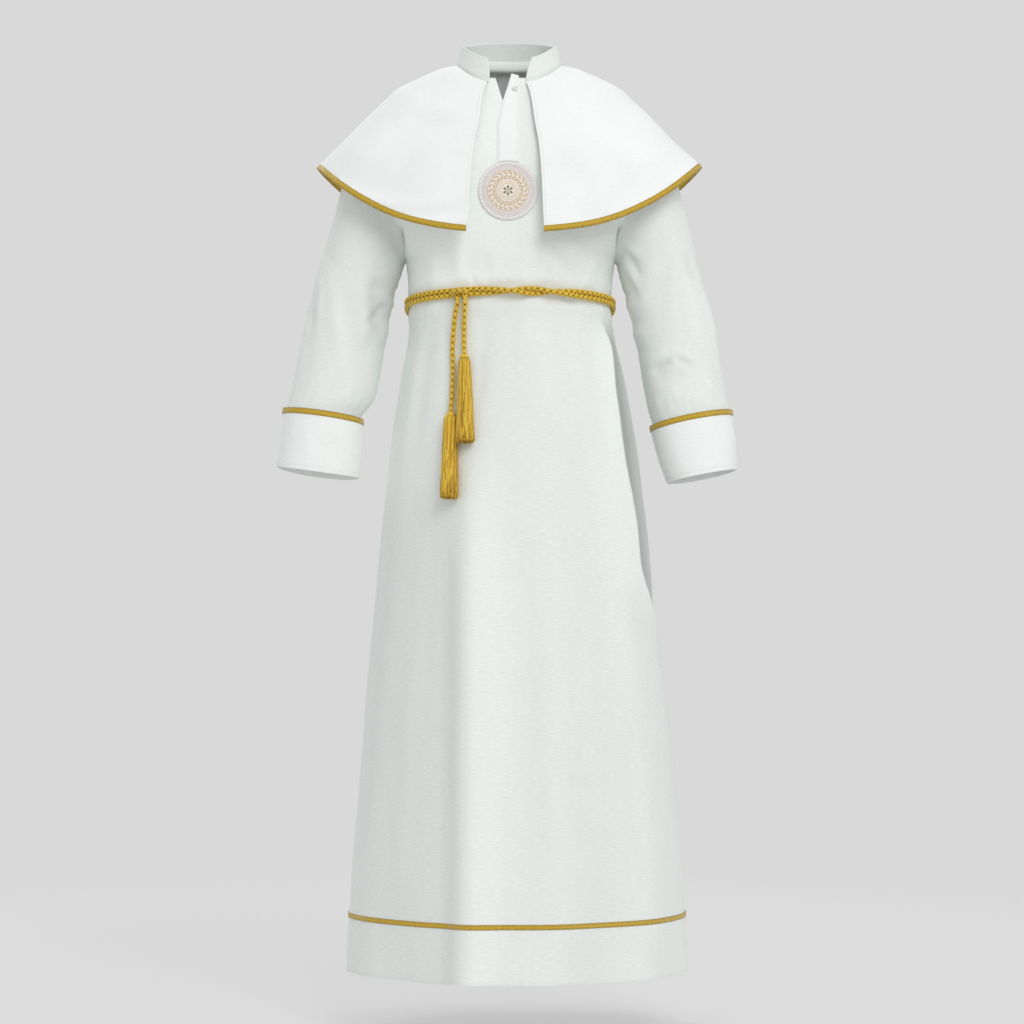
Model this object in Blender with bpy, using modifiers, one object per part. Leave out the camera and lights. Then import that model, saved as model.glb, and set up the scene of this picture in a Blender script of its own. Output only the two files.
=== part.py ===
"""Alb robe with a shoulder cape and a tasselled cincture, modelled as worn and hollow.

Metres, +Z up, the front faces -Y. Tables are in millimetres. The origin is on the neck's axis, level
with the front of the neckline.
"""

import math
import random

import bmesh
import bpy
from mathutils import Matrix, Vector
from mathutils.bvhtree import BVHTree

MM = 0.001
ROBE_WALL = 1.6
CAPE_WALL = 1.5
COLLAR_WALL = 2.0
BAND_WALL = 0.9
SEAM_GAP = 0.3
LAY_GAP = 0.4
APPLIED_GAP = 0.6

PANEL_COLUMNS = 18
CAPE_FRONT_COLUMNS = 7
CAPE_BACK_COLUMNS = 14
SLEEVE_SIDES = 16

CORD_RADIUS = 3.25
CORD_PAIR = 3.7
CORD_CLOTH_GAP = 0.8

WHITE_LINEN = ((0.86, 0.88, 0.87), 0.85, 0.0)
GOLD_BRAID = ((0.57, 0.32, 0.02), 0.55, 0.0)
GOLD_CORD = ((0.62, 0.38, 0.03), 0.6, 0.0)
PALE_PINK = ((0.8, 0.7, 0.68), 0.7, 0.0)
PEARL = ((0.85, 0.86, 0.86), 0.2, 0.0)

# Rings of the body from the neck to the shoulder point. "side" is the ring's height over the shoulder
# seam; "front" and "back" are how far the ring's middle lies before or behind the neck's axis, and
# "front_z" and "back_z" how high.
SHOULDER_ROWS = [
    # half, side, front, front_z, back, back_z
    (62.0, 12.0, 55.5, -4.0, 60.5, 21.0),
    (90.5, 9.0, 66.0, -24.0, 73.0, 10.0),
    (114.0, 1.6, 76.0, -44.0, 84.0, -6.0),
    (148.0, -14.8, 88.0, -69.0, 96.0, -30.0),
    (167.5, -32.5, 95.0, -88.0, 103.0, -54.0),
    (187.2, -60.0, 101.0, -108.0, 109.0, -80.0),
]

# Rows that end at the armhole, from the shoulder point down to the underarm, one each 22.5 degrees.
ARMHOLE_ROWS = [
    # front, front_z, back, back_z
    (104.0, -124.0, 112.0, -98.0),
    (106.0, -141.0, 114.0, -118.0),
    (108.0, -160.0, 115.5, -142.0),
    (109.5, -181.0, 116.0, -168.0),
    (110.5, -203.0, 115.5, -195.0),
    (110.5, -223.0, 114.0, -219.0),
    (110.0, -236.0, 112.0, -236.0),
]
ARMHOLE_DEPTH = 60.0
ARMHOLE_Y = 3.0
ARMHOLE_TOP = (187.2, -60.0)
ARMHOLE_FOOT = {-1: (137.6, -243.5), 1: (141.9, -243.5)}

# Level rings from the underarm to the hem, measured on the cloth's inner face.
SKIRT_ROWS = [
    # z, left, right, front, back
    (-243.5, 137.6, 141.9, 109.5, 109.5),
    (-270.0, 134.4, 137.9, 106.5, 104.5),
    (-297.0, 132.0, 134.8, 102.5, 97.0),
    (-325.0, 132.4, 136.6, 103.5, 96.8),
    (-358.0, 135.4, 143.9, 108.0, 101.5),
    (-412.0, 145.4, 156.4, 115.5, 115.0),
    (-486.0, 156.4, 169.9, 125.5, 131.5),
    (-560.0, 165.4, 180.0, 135.5, 145.0),
    (-650.0, 175.8, 190.4, 147.0, 157.5),
    (-738.0, 183.4, 199.4, 157.5, 167.5),
    (-833.0, 191.4, 211.0, 168.5, 177.5),
    (-930.0, 198.0, 220.0, 178.5, 186.0),
    (-1030.0, 206.6, 229.6, 188.5, 194.5),
    (-1120.5, 212.6, 235.6, 196.5, 202.0),
    (-1127.5, 213.0, 236.0, 197.0, 202.5),
    (-1199.0, 216.4, 240.4, 203.5, 208.5),
]
HEM_BAND_ROWS = (-3, -2)

# Folds of the skirt: ridges push the ring out and troughs draw it in, growing from top to full.
SKIRT_FOLDS = [
    # angle, width, depth, top, full, foot
    (-15.0, 9.0, 7.0, -330.0, -800.0, -1199.0),
    (14.0, 10.0, 5.0, -330.0, -800.0, -1199.0),
    (-48.0, 12.0, -4.0, -340.0, -900.0, -1199.0),
    (80.0, 8.0, -5.0, -325.0, -480.0, -740.0),
    (52.0, 12.0, 3.0, -340.0, -800.0, -1199.0),
    (-80.0, 9.0, 3.0, -400.0, -900.0, -1199.0),
    (154.0, 11.0, 8.0, -330.0, -850.0, -1199.0),
    (205.0, 12.0, 7.0, -330.0, -850.0, -1199.0),
    (180.0, 9.0, -6.0, -330.0, -850.0, -1199.0),
    (233.0, 9.0, -5.0, -360.0, -850.0, -1199.0),
    (127.0, 9.0, -5.0, -360.0, -850.0, -1199.0),
]

# Sleeve rings, each across the line from its outer point to its inner point.
SLEEVE_ROWS = {
    -1: [
        # outer_x, outer_z, inner_x, inner_z, depth, y, front_rise, back_drop
        (188.9, -60.0, 141.6, -243.5, 60.0, 3.0, 0.0, 0.0),
        (203.0, -84.0, 143.2, -250.0, 60.0, 3.0, 0.0, 0.0),
        (216.0, -118.0, 145.2, -257.5, 60.0, 2.0, 0.0, 0.0),
        (227.2, -158.0, 148.0, -266.0, 59.0, 1.0, 0.0, 0.0),
        (239.0, -200.0, 152.0, -279.0, 57.5, 0.0, 0.0, 0.0),
        (251.0, -240.0, 157.0, -296.0, 56.0, -2.0, 0.0, 0.0),
        (260.4, -271.0, 161.5, -318.0, 54.5, -5.0, 0.5, 0.5),
        (268.0, -305.0, 165.0, -342.0, 53.0, -8.0, 1.0, 1.0),
        (277.0, -345.0, 170.5, -373.0, 52.5, -12.0, 2.0, 2.0),
        (284.5, -385.0, 176.0, -405.0, 52.5, -17.0, 3.0, 3.0),
        (291.5, -420.0, 183.0, -431.0, 53.0, -22.0, 4.0, 4.0),
        (296.0, -438.0, 191.0, -443.0, 53.5, -24.5, 4.0, 4.0),
        (298.0, -444.0, 200.2, -454.5, 51.6, -25.9, 4.0, 4.0),
        (298.6, -458.0, 200.2, -473.0, 51.6, -27.2, 4.0, 4.2),
    ],
    1: [
        (188.9, -60.0, 145.9, -243.5, 60.0, 3.0, 0.0, 0.0),
        (204.0, -84.0, 147.0, -250.0, 60.0, 3.0, 0.0, 0.0),
        (218.0, -118.0, 148.6, -257.5, 60.0, 2.0, 0.0, 0.0),
        (230.4, -155.0, 151.0, -266.5, 59.0, 1.0, 0.0, 0.0),
        (240.5, -196.0, 154.5, -281.0, 57.5, 0.0, 0.0, 0.0),
        (251.0, -238.0, 159.5, -298.0, 56.0, -2.0, 0.0, 0.0),
        (259.5, -272.0, 164.5, -320.0, 54.5, -5.0, 0.5, 0.5),
        (268.0, -305.0, 170.0, -344.0, 53.0, -8.0, 1.0, 1.0),
        (278.0, -345.0, 176.5, -376.0, 52.5, -12.0, 2.5, 2.0),
        (283.5, -385.0, 181.0, -406.0, 53.0, -17.0, 4.0, 3.0),
        (289.0, -420.0, 186.0, -432.0, 54.0, -22.0, 5.0, 4.0),
        (292.5, -438.0, 190.0, -450.0, 54.3, -24.5, 5.6, 4.0),
        (294.6, -446.0, 193.9, -463.5, 52.6, -25.9, 5.6, 4.0),
        (295.2, -461.0, 196.2, -480.0, 52.6, -27.2, 5.6, 4.2),
    ],
}
CUFF_ROWS = {
    -1: [
        (301.4, -444.0, 197.4, -459.0, 54.2, -26.0, 4.0, 4.0),
        (302.4, -452.0, 197.4, -467.0, 54.4, -26.8, 4.0, 4.2),
        (306.0, -485.0, 198.4, -500.0, 55.2, -30.0, 2.2, 5.6),
        (311.0, -522.5, 202.4, -537.3, 56.0, -34.0, 0.5, 7.0),
    ],
    1: [
        (298.1, -447.0, 190.8, -468.0, 55.3, -26.0, 5.6, 4.0),
        (298.8, -455.0, 192.4, -476.0, 55.5, -26.8, 5.6, 4.2),
        (302.4, -488.0, 200.4, -508.0, 57.0, -30.0, 4.2, 4.6),
        (304.9, -526.5, 213.4, -544.0, 58.0, -34.0, 2.7, 5.0),
    ],
}
CUFF_BAND_ROWS = (0, 1)

# Cape rings from the neck seam to its hem. The edges are where the two fronts end beside the opening.
CAPE_ROWS = [
    # half, side, front, front_z, back, back_z, left_edge, right_edge
    (70.5, 17.5, 64.5, -11.0, 69.0, 31.0, 29.0, 22.7),
    (91.5, 13.6, 73.0, -22.0, 78.5, 24.0, 33.0, 27.0),
    (105.4, 7.6, 80.0, -34.0, 87.0, 16.0, 35.5, 29.6),
    (126.0, -1.6, 89.5, -50.0, 96.5, 2.0, 38.0, 32.0),
    (149.2, -12.9, 98.5, -68.0, 106.0, -18.0, 40.0, 34.5),
    (168.4, -30.4, 108.0, -90.0, 113.0, -44.0, 45.0, 38.5),
    (186.0, -45.8, 116.0, -111.0, 119.0, -72.0, 48.0, 41.0),
    (219.5, -80.6, 127.5, -150.0, 129.0, -128.0, 51.5, 43.5),
    (246.0, -107.5, 136.0, -194.0, 138.0, -190.0, 54.5, 45.3),
    (254.0, -114.5, 139.0, -207.0, 141.5, -210.0, 56.0, 46.0),
    (258.6, -120.0, 140.4, -214.2, 143.5, -217.0, 56.6, 46.1),
]
CAPE_EDGE_ROWS = (-2, -1)

# How squarely a ring drops from its sides to its middle.
ROBE_DROP_POWER = 2.5
CAPE_DROP_POWER = 2.7

COLLAR_ROWS = [
    # half, side, front, front_z, back, back_z, left_edge, right_edge
    (67.9, 17.6, 61.8, -11.0, 66.4, 31.0, 26.6, 22.8),
    (67.2, 23.0, 61.0, -3.0, 65.6, 37.5, 25.4, 22.9),
    (65.6, 34.0, 59.6, 9.5, 64.0, 47.0, 26.0, 25.6),
    (63.6, 45.8, 58.0, 21.7, 62.0, 56.5, 28.0, 30.0),
]

NECK_NOTCH = [(-19.5, 2.0), (-8.6, -34.5), (6.0, -14.0), (6.0, 2.0)]
NOTCH_REACH = 90.0

PLACKET_ROWS = [
    # z, left, right
    (-0.5, 3.4, 13.2),
    (-8.0, 0.6, 13.2),
    (-17.0, -2.4, 13.2),
    (-35.0, -8.0, 13.2),
    (-52.0, -11.6, 13.2),
    (-66.0, -14.6, 13.2),
    (-84.0, -14.6, 13.2),
    (-102.0, -14.6, 13.2),
    (-117.0, -14.6, 13.2),
]
PLACKET_COLUMNS = 4
PLACKET_WALL = 1.1

BUTTON = {"x": 8.2, "z": -19.5, "radius": 3.6, "face": 3.1, "height": 1.6, "gap": 0.5}

MEDALLION = {"x": -1.3, "z": -157.8, "sides": 24}
# The patch's relief: how far it stands off the panel at each radius.
MEDALLION_RINGS = [
    # radius, height
    (7.0, 1.5),
    (14.5, 1.4),
    (16.5, 2.0),
    (25.0, 2.0),
    (27.0, 1.2),
    (33.8, 1.2),
    (35.4, 1.9),
    (37.6, 1.9),
    (39.0, 1.0),
]

BELT_SIDE_Z = -303.0
BELT_FRONT_RISE = 12.7
BELT_BACK_DROP = 22.0
BELT_FINE = (-22.0, 46.0, 3.5)  # from, to and step of the angles where the two cords cross
BELT_COARSE = 7.5
# How far the doubled cord has turned about itself at each angle round the waist.
BELT_TWIST = [
    # angle, turn
    (-180.0, 90.0),
    (-20.0, 90.0),
    (1.7, 0.0),
    (11.8, -90.0),
    (22.6, -180.0),
    (44.0, -270.0),
    (180.0, -270.0),
]

# Where each hanging end's centre runs: sideways and down, with its stand-off from the cloth.
HANGING_ENDS = {
    "left": {
        "turn_x": -68.6,
        "route": [
            # x, z, stand_off
            (-70.4, -316.0, 9.5),
            (-73.4, -342.0, 6.2),
            (-74.9, -368.0, 5.0),
            (-74.4, -394.0, 4.8),
            (-75.2, -422.0, 5.6),
            (-76.8, -452.6, 8.8),
        ],
        "tassel_foot": (-79.0, -564.8),
    },
    "right": {
        "turn_x": -58.4,
        "route": [
            (-58.8, -316.0, 9.5),
            (-59.4, -338.0, 6.6),
            (-59.6, -356.0, 6.6),
            (-59.0, -376.4, 9.0),
        ],
        "tassel_foot": (-57.6, -490.9),
    },
}
TURN_STEPS = 4
TURN_FOOT_DROP = 7.0
TURN_CLOTH_GAP = 2.2
TURN_LEAN = 0.5
TURN_CORD_GAP = 0.6
BELT_SLANT = 1.12  # the belt runs aslant to the bends there, so they need more room ahead of it
CORD_POINT_SPACING = 14.0
STRAIGHT_START = 6.0

TASSEL_HEAD = [
    # radius, drop
    (3.0, 0.0),
    (5.2, 1.6),
    (6.9, 5.0),
    (7.3, 9.5),
    (7.0, 14.8),
    (6.6, 19.4),
]
TASSEL_ROOTS = [6.6, 4.5, 2.3]
TASSEL_SIDES = 16
TASSEL_ROOT_INSET = 0.24
TASSEL_FLARE = [
    # share of the length, spread
    (0.42, 1.42),
    (1.0, 1.66),
]
TASSEL_CLEARANCE = 12.6
RAGGED_ENDS = 2.2


def clear_scene():
    for obj in list(bpy.data.objects):
        bpy.data.objects.remove(obj, do_unlink=True)


def new_collection(name, hidden=False):
    collection = bpy.data.collections.new(name)
    collection.hide_render = hidden
    bpy.context.scene.collection.children.link(collection)
    return collection


def finish_material(name, finish):
    colour, roughness, metallic = finish
    material = bpy.data.materials.new(name)
    material.use_nodes = True
    shader = material.node_tree.nodes["Principled BSDF"]
    shader.inputs["Base Color"].default_value = (*colour, 1.0)
    shader.inputs["Roughness"].default_value = roughness
    shader.inputs["Metallic"].default_value = metallic
    return material


def add_object(name, data, finish, collection):
    obj = bpy.data.objects.new(name, data)
    data.materials.append(finish_material(name, finish))
    collection.objects.link(obj)
    return obj


def between(low, high, share):
    return low + (high - low) * share


def table_value(table, at):
    """The value beside a key in a sorted two-column table, on straight lines between its rows."""
    if at <= table[0][0]:
        return table[0][1]
    for (low, low_value), (high, high_value) in zip(table, table[1:]):
        if at <= high:
            return between(low_value, high_value, (at - low) / (high - low))
    return table[-1][1]


def smooth_step(share):
    share = min(max(share, 0.0), 1.0)
    return share * share * (3.0 - 2.0 * share)


def smooth_route(points, spacing):
    """Points about one spacing apart along a smooth curve through the given ones."""
    padded = [points[0] * 2 - points[1], *points, points[-1] * 2 - points[-2]]
    route = []
    for before, start, end, after in zip(padded, padded[1:], padded[2:], padded[3:]):
        steps = max(1, round((end - start).length / spacing))
        for step in range(steps):
            share = step / steps
            straight = start * 2 + (end - before) * share
            bend = (before * 2 - start * 5 + end * 4 - after) * share**2
            turn = (start * 3 - before - end * 3 + after) * share**3
            route.append((straight + bend + turn) / 2)
    return [*route, points[-1]]


# Grids and walls


def grid_mesh(name, rows, closed=False):
    """A mesh of quads over rows of points in millimetres, the rows joined end to end if closed."""
    columns = len(rows[0])
    mesh = bpy.data.meshes.new(name)
    points = [Vector(point) * MM for row in rows for point in row]
    faces = []
    for row in range(len(rows) - 1):
        for column in range(columns if closed else columns - 1):
            after = (column + 1) % columns
            top = row * columns
            foot = top + columns
            faces.append((top + column, foot + column, foot + after, top + after))
    mesh.from_pydata(points, [], faces)
    mesh.update()
    mesh.shade_smooth()
    return mesh


def thicken(obj, wall):
    """Gives a surface a wall that stands outside it."""
    solidify = obj.modifiers.new("Wall", "SOLIDIFY")
    solidify.thickness = wall * MM
    solidify.offset = 1.0


def cloth_piece(name, rows, wall, finish, collection, closed=False):
    obj = add_object(name, grid_mesh(name, rows, closed), finish, collection)
    thicken(obj, wall)
    return obj


def lifted_rows(obj, columns, picked, lift):
    """The chosen rows of a cloth piece's points, moved out by a height in millimetres."""
    mesh = obj.data
    count = len(mesh.vertices) // columns
    rows = []
    for row in picked:
        first = (row % count) * columns
        rows.append(
            [
                (mesh.vertices[i].co / MM) + mesh.vertex_normals[i].vector * lift
                for i in range(first, first + columns)
            ]
        )
    return rows


# The alb's body


def fold_depth(angle, z):
    """How far the skirt's folds move the ring out at an angle and a height."""
    depth = 0.0
    for centre, width, height, top, full, foot in SKIRT_FOLDS:
        away = (angle - centre + 180.0) % 360.0 - 180.0
        grown = smooth_step((top - z) / (top - full))
        if foot > SKIRT_ROWS[-1][0]:
            grown *= smooth_step((z - foot) / (full - foot))
        depth += height * grown * math.exp(-((away / width) ** 2))
    return depth


def skirt_sizes(z):
    """The half widths and depths of the level ring at a height under the arms."""
    for above, below in zip(SKIRT_ROWS, SKIRT_ROWS[1:]):
        if z >= below[0]:
            share = (above[0] - z) / (above[0] - below[0])
            return [between(a, b, share) for a, b in zip(above[1:], below[1:])]
    return list(SKIRT_ROWS[-1][1:])


def skirt_point(angle, z, lift=0.0):
    """A point of the skirt's inner face, moved out by a lift. Angle 0 is the front, 90 viewer's right."""
    left, right, front, back = skirt_sizes(z)
    turn = math.radians(angle)
    half = right if math.sin(turn) > 0 else left
    depth = front if math.cos(turn) > 0 else back
    point = Vector((half * math.sin(turn), -depth * math.cos(turn), z))
    out = Vector((math.sin(turn) / half, -math.cos(turn) / depth, 0.0)).normalized()
    return point + out * (lift + fold_depth(angle, z))


def armhole_point(side, turn):
    """A point on the armhole's edge: turn 0 is the shoulder point and 180 the underarm."""
    top = Vector((ARMHOLE_TOP[0], 0, ARMHOLE_TOP[1]))
    foot = Vector((ARMHOLE_FOOT[side][0], 0, ARMHOLE_FOOT[side][1]))
    centre = (top + foot) / 2 + Vector((0, ARMHOLE_Y, 0))
    up = (top - foot) / 2 * math.cos(math.radians(turn))
    across = Vector((0, ARMHOLE_DEPTH, 0)) * math.sin(math.radians(turn))
    point = centre + up + across
    return Vector((point.x * side, point.y, point.z))


def panel_shares():
    return [2.0 * column / PANEL_COLUMNS - 1.0 for column in range(PANEL_COLUMNS + 1)]


def drop_share(share, power):
    """How far down from its side towards its middle a ring is, at a share of its half width."""
    return 1.0 - abs(share) ** power


def seam_shift(share, facing):
    """Moves a panel's two side edges away from its neighbour by half a seam's gap."""
    return facing * SEAM_GAP / 2 if abs(share) == 1.0 else 0.0


def shoulder_row(row, facing):
    """A ring of one panel over the shoulders. Facing is -1 on the front and 1 on the back."""
    half, side, front, front_z, back, back_z = row
    depth = front if facing < 0 else back
    middle_z = front_z if facing < 0 else back_z
    points = []
    for share in panel_shares():
        turn = math.radians(90.0 * share)
        y = facing * depth * math.cos(turn) + seam_shift(share, facing)
        z = between(side, middle_z, drop_share(share, ROBE_DROP_POWER))
        points.append((half * math.sin(turn), y, z))
    return points


def armhole_row(row, turn, facing):
    """A row of one panel that ends at the two armholes."""
    front, front_z, back, back_z = row
    depth = front if facing < 0 else back
    middle_z = front_z if facing < 0 else back_z
    edges = {side: armhole_point(side, turn if facing > 0 else -turn) for side in (-1, 1)}
    points = []
    for share in panel_shares():
        edge = edges[1 if share > 0 else -1]
        reach = math.acos(min(1.0, abs(edge.y) / depth))
        half = abs(edge.x) / math.sin(reach)
        angle = reach * share
        z = between(edge.z, middle_z, drop_share(share, ROBE_DROP_POWER))
        points.append((half * math.sin(angle), facing * depth * math.cos(angle), z))
    return points


def skirt_row(z, facing):
    points = []
    for share in panel_shares():
        angle = 90.0 * share if facing < 0 else 180.0 - 90.0 * share
        point = skirt_point(angle, z)
        point.y += seam_shift(share, facing)
        points.append(point)
    return points


def panel_rows(facing):
    rows = [shoulder_row(row, facing) for row in SHOULDER_ROWS]
    step = 180.0 / (len(ARMHOLE_ROWS) + 1)
    for number, row in enumerate(ARMHOLE_ROWS, start=1):
        rows.append(armhole_row(row, number * step, facing))
    rows.extend(skirt_row(row[0], facing) for row in SKIRT_ROWS)
    if facing > 0:
        rows = [row[::-1] for row in rows]
    return rows


def flat_cutter(name, outline, depth, cutters):
    """A solid over an outline in the XZ plane that reaches forward from the neck's axis."""
    curve = bpy.data.curves.new(name, "CURVE")
    curve.dimensions = "2D"
    curve.fill_mode = "BOTH"
    curve.extrude = depth / 2 * MM
    spline = curve.splines.new("POLY")
    spline.points.add(len(outline) - 1)
    for point, (x, z) in zip(spline.points, outline):
        point.co = (x * MM, z * MM, 0.0, 1.0)
    spline.use_cyclic_u = True
    guide = bpy.data.objects.new(name + "_outline", curve)
    cutters.objects.link(guide)
    guide.matrix_world = Matrix.Translation((0, -depth / 2 * MM, 0)) @ Matrix.Rotation(math.pi / 2, 4, "X")
    bpy.context.view_layer.update()
    graph = bpy.context.evaluated_depsgraph_get()
    mesh = bpy.data.meshes.new_from_object(guide.evaluated_get(graph))
    shape = bmesh.new()
    shape.from_mesh(mesh)
    bmesh.ops.remove_doubles(shape, verts=shape.verts, dist=1e-6)
    bmesh.ops.recalc_face_normals(shape, faces=shape.faces)
    shape.to_mesh(mesh)
    shape.free()
    cutter = bpy.data.objects.new(name, mesh)
    cutter.matrix_world = guide.matrix_world.copy()
    cutters.objects.link(cutter)
    bpy.data.objects.remove(guide, do_unlink=True)
    cutter.hide_render = True
    cutter.display_type = "WIRE"
    return cutter


def make_body(parts, cutters):
    front = cloth_piece("alb_front", panel_rows(-1), ROBE_WALL, WHITE_LINEN, parts)
    face = PanelFace(front)
    back = cloth_piece("alb_back", panel_rows(1), ROBE_WALL, WHITE_LINEN, parts)
    for side, panel in (("front", front), ("back", back)):
        rows = lifted_rows(panel, PANEL_COLUMNS + 1, HEM_BAND_ROWS, ROBE_WALL + LAY_GAP)
        cloth_piece("hem_band_" + side, rows, BAND_WALL, GOLD_BRAID, parts)
    notch = front.modifiers.new("Neck notch", "BOOLEAN")
    notch.operation = "DIFFERENCE"
    notch.object = flat_cutter("neck_notch", NECK_NOTCH, NOTCH_REACH, cutters)
    return face


# Sleeves and cuffs


def sleeve_ring(row, side):
    outer_x, outer_z, inner_x, inner_z, depth, centre_y, front_rise, back_drop = row
    points = []
    for number in range(SLEEVE_SIDES):
        turn = 2.0 * math.pi * number / SLEEVE_SIDES
        outward = (1.0 + math.cos(turn)) / 2
        forward = math.sin(turn)
        x = between(inner_x, outer_x, outward)
        z = between(inner_z, outer_z, outward)
        z += front_rise * max(0.0, forward) - back_drop * max(0.0, -forward)
        points.append((side * x, centre_y - depth * forward, z))
    return points if side < 0 else points[::-1]


def make_sleeve(side, name, parts):
    rows = [sleeve_ring(row, side) for row in SLEEVE_ROWS[side]]
    cloth_piece("sleeve_" + name, rows, ROBE_WALL, WHITE_LINEN, parts, closed=True)
    rows = [sleeve_ring(row, side) for row in CUFF_ROWS[side]]
    cuff = cloth_piece("cuff_" + name, rows, ROBE_WALL, WHITE_LINEN, parts, closed=True)
    rows = lifted_rows(cuff, SLEEVE_SIDES, CUFF_BAND_ROWS, ROBE_WALL + LAY_GAP)
    cloth_piece("cuff_band_" + name, rows, BAND_WALL, GOLD_BRAID, parts, closed=True)


# Cape and collar


def draped_point(row, angle, y_shift=0.0):
    half, side, front, front_z, back, back_z = row[:6]
    turn = math.radians(angle)
    across = math.sin(turn)
    ahead = math.cos(turn)
    depth = front if ahead > 0 else back
    middle_z = front_z if ahead > 0 else back_z
    z = between(side, middle_z, drop_share(across, CAPE_DROP_POWER))
    return (half * across, -depth * ahead + y_shift, z)


def front_angles(row, side):
    """Angles from the front opening's edge to the shoulder seam, on one side."""
    edge = row[6] if side < 0 else row[7]
    first = math.degrees(math.asin(edge / row[0]))
    return [side * between(first, 90.0, n / CAPE_FRONT_COLUMNS) for n in range(CAPE_FRONT_COLUMNS + 1)]


def back_angles():
    return [90.0 + 180.0 * n / CAPE_BACK_COLUMNS for n in range(CAPE_BACK_COLUMNS + 1)]


def cape_front_row(row, side):
    angles = front_angles(row, side)
    shifts = [0.0] * CAPE_FRONT_COLUMNS + [-SEAM_GAP / 2]
    points = [draped_point(row, angle, shift) for angle, shift in zip(angles, shifts)]
    return points[::-1] if side < 0 else points


def cape_back_row(row):
    shifts = [SEAM_GAP / 2] + [0.0] * (CAPE_BACK_COLUMNS - 1) + [SEAM_GAP / 2]
    return [draped_point(row, angle, shift) for angle, shift in zip(back_angles(), shifts)]


def collar_row(row):
    left = [draped_point(row, angle) for angle in front_angles(row, -1)]
    right = [draped_point(row, angle) for angle in front_angles(row, 1)]
    back = [draped_point(row, angle) for angle in back_angles()[1:-1]]
    return right + back + left[::-1]


def make_cape(parts):
    pieces = {
        "left": [cape_front_row(row, -1) for row in CAPE_ROWS],
        "right": [cape_front_row(row, 1) for row in CAPE_ROWS],
        "back": [cape_back_row(row) for row in CAPE_ROWS],
    }
    for place, rows in pieces.items():
        name = "cape_back" if place == "back" else "cape_front_" + place
        piece = cloth_piece(name, rows, CAPE_WALL, WHITE_LINEN, parts)
        edge = lifted_rows(piece, len(rows[0]), CAPE_EDGE_ROWS, CAPE_WALL + LAY_GAP)
        cloth_piece("cape_edge_" + place, edge, BAND_WALL, GOLD_BRAID, parts)
    rows = [collar_row(row) for row in reversed(COLLAR_ROWS)]
    cloth_piece("collar", rows, COLLAR_WALL, WHITE_LINEN, parts)


# What lies on the front


class PanelFace:
    """Finds the outer face of the front panel, for what is sewn on it."""

    START_Y = -400.0
    EDGE_STEP = 0.5
    EDGE_STEPS = 40

    def __init__(self, panel):
        bpy.context.view_layer.update()
        graph = bpy.context.evaluated_depsgraph_get()
        self.tree = BVHTree.FromObject(panel, graph)

    def at(self, x, z, lift):
        """The point a lift in millimetres before the panel, or before its edge where it ends lower."""
        for step in range(self.EDGE_STEPS):
            start = Vector((x, self.START_Y, z - step * self.EDGE_STEP)) * MM
            hit = self.tree.ray_cast(start, Vector((0, 1, 0)))[0]
            if hit is not None:
                return Vector((x, hit.y / MM - lift, z))
        raise ValueError(f"no panel behind x {x}, z {z}")


def make_placket(front, parts):
    """The strip over the front opening, whose foot follows the medallion's rim."""
    rim = MEDALLION_RINGS[-1][0] + 2 * SEAM_GAP
    rows = []
    for z, left, right in PLACKET_ROWS:
        columns = [between(left, right, n / PLACKET_COLUMNS) for n in range(PLACKET_COLUMNS + 1)]
        arcs = [MEDALLION["z"] + math.sqrt(rim**2 - (x - MEDALLION["x"]) ** 2) for x in columns]
        rows.append([front.at(x, max(z, arc), APPLIED_GAP) for x, arc in zip(columns, arcs)])
    cloth_piece("placket", rows, PLACKET_WALL, WHITE_LINEN, parts)


def make_button(front, parts):
    centre = front.at(BUTTON["x"], BUTTON["z"], 0.0)
    above = front.at(BUTTON["x"], BUTTON["z"] + BUTTON["radius"], 0.0)
    below = front.at(BUTTON["x"], BUTTON["z"] - BUTTON["radius"], 0.0)
    slope = (above - below).normalized()
    out = slope.cross(Vector((1, 0, 0))).normalized()
    out = out if out.y < 0 else -out
    mesh = bpy.data.meshes.new("button")
    shape = bmesh.new()
    bmesh.ops.create_cone(
        shape,
        cap_ends=True,
        segments=16,
        radius1=BUTTON["radius"] * MM,
        radius2=BUTTON["face"] * MM,
        depth=BUTTON["height"] * MM,
    )
    shape.to_mesh(mesh)
    shape.free()
    button = add_object("button", mesh, PEARL, parts)
    off = APPLIED_GAP + PLACKET_WALL + BUTTON["gap"] + BUTTON["height"] / 2
    button.location = (centre + out * off) * MM
    button.rotation_euler = out.to_track_quat("Z", "Y").to_euler()


def make_medallion(front, parts):
    """A disc whose back follows the panel, with its padded rings raised on the face."""
    sides = MEDALLION["sides"]
    shape = bmesh.new()

    def ring(radius, lift):
        points = []
        for number in range(sides):
            turn = 2.0 * math.pi * number / sides
            x = MEDALLION["x"] + radius * math.sin(turn)
            z = MEDALLION["z"] + radius * math.cos(turn)
            points.append(shape.verts.new(front.at(x, z, lift) * MM))
        return points

    def middle(lift):
        return [shape.verts.new(front.at(MEDALLION["x"], MEDALLION["z"], lift) * MM)] * sides

    face = [ring(radius, APPLIED_GAP + height) for radius, height in MEDALLION_RINGS]
    back = [ring(radius, APPLIED_GAP) for radius, _ in MEDALLION_RINGS[1::3] + [MEDALLION_RINGS[-1]]]
    face_middle = middle(APPLIED_GAP + MEDALLION_RINGS[0][1])
    loops = [middle(APPLIED_GAP), *back, *face[::-1], face_middle]
    for inner, outer in zip(loops, loops[1:]):
        for number in range(sides):
            after = (number + 1) % sides
            corners = [inner[number], inner[after], outer[after], outer[number]]
            shape.faces.new(list(dict.fromkeys(corners)))
    bmesh.ops.recalc_face_normals(shape, faces=shape.faces)
    mesh = bpy.data.meshes.new("medallion")
    shape.to_mesh(mesh)
    shape.free()
    mesh.shade_smooth()
    add_object("medallion", mesh, PALE_PINK, parts)


# The cincture


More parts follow.
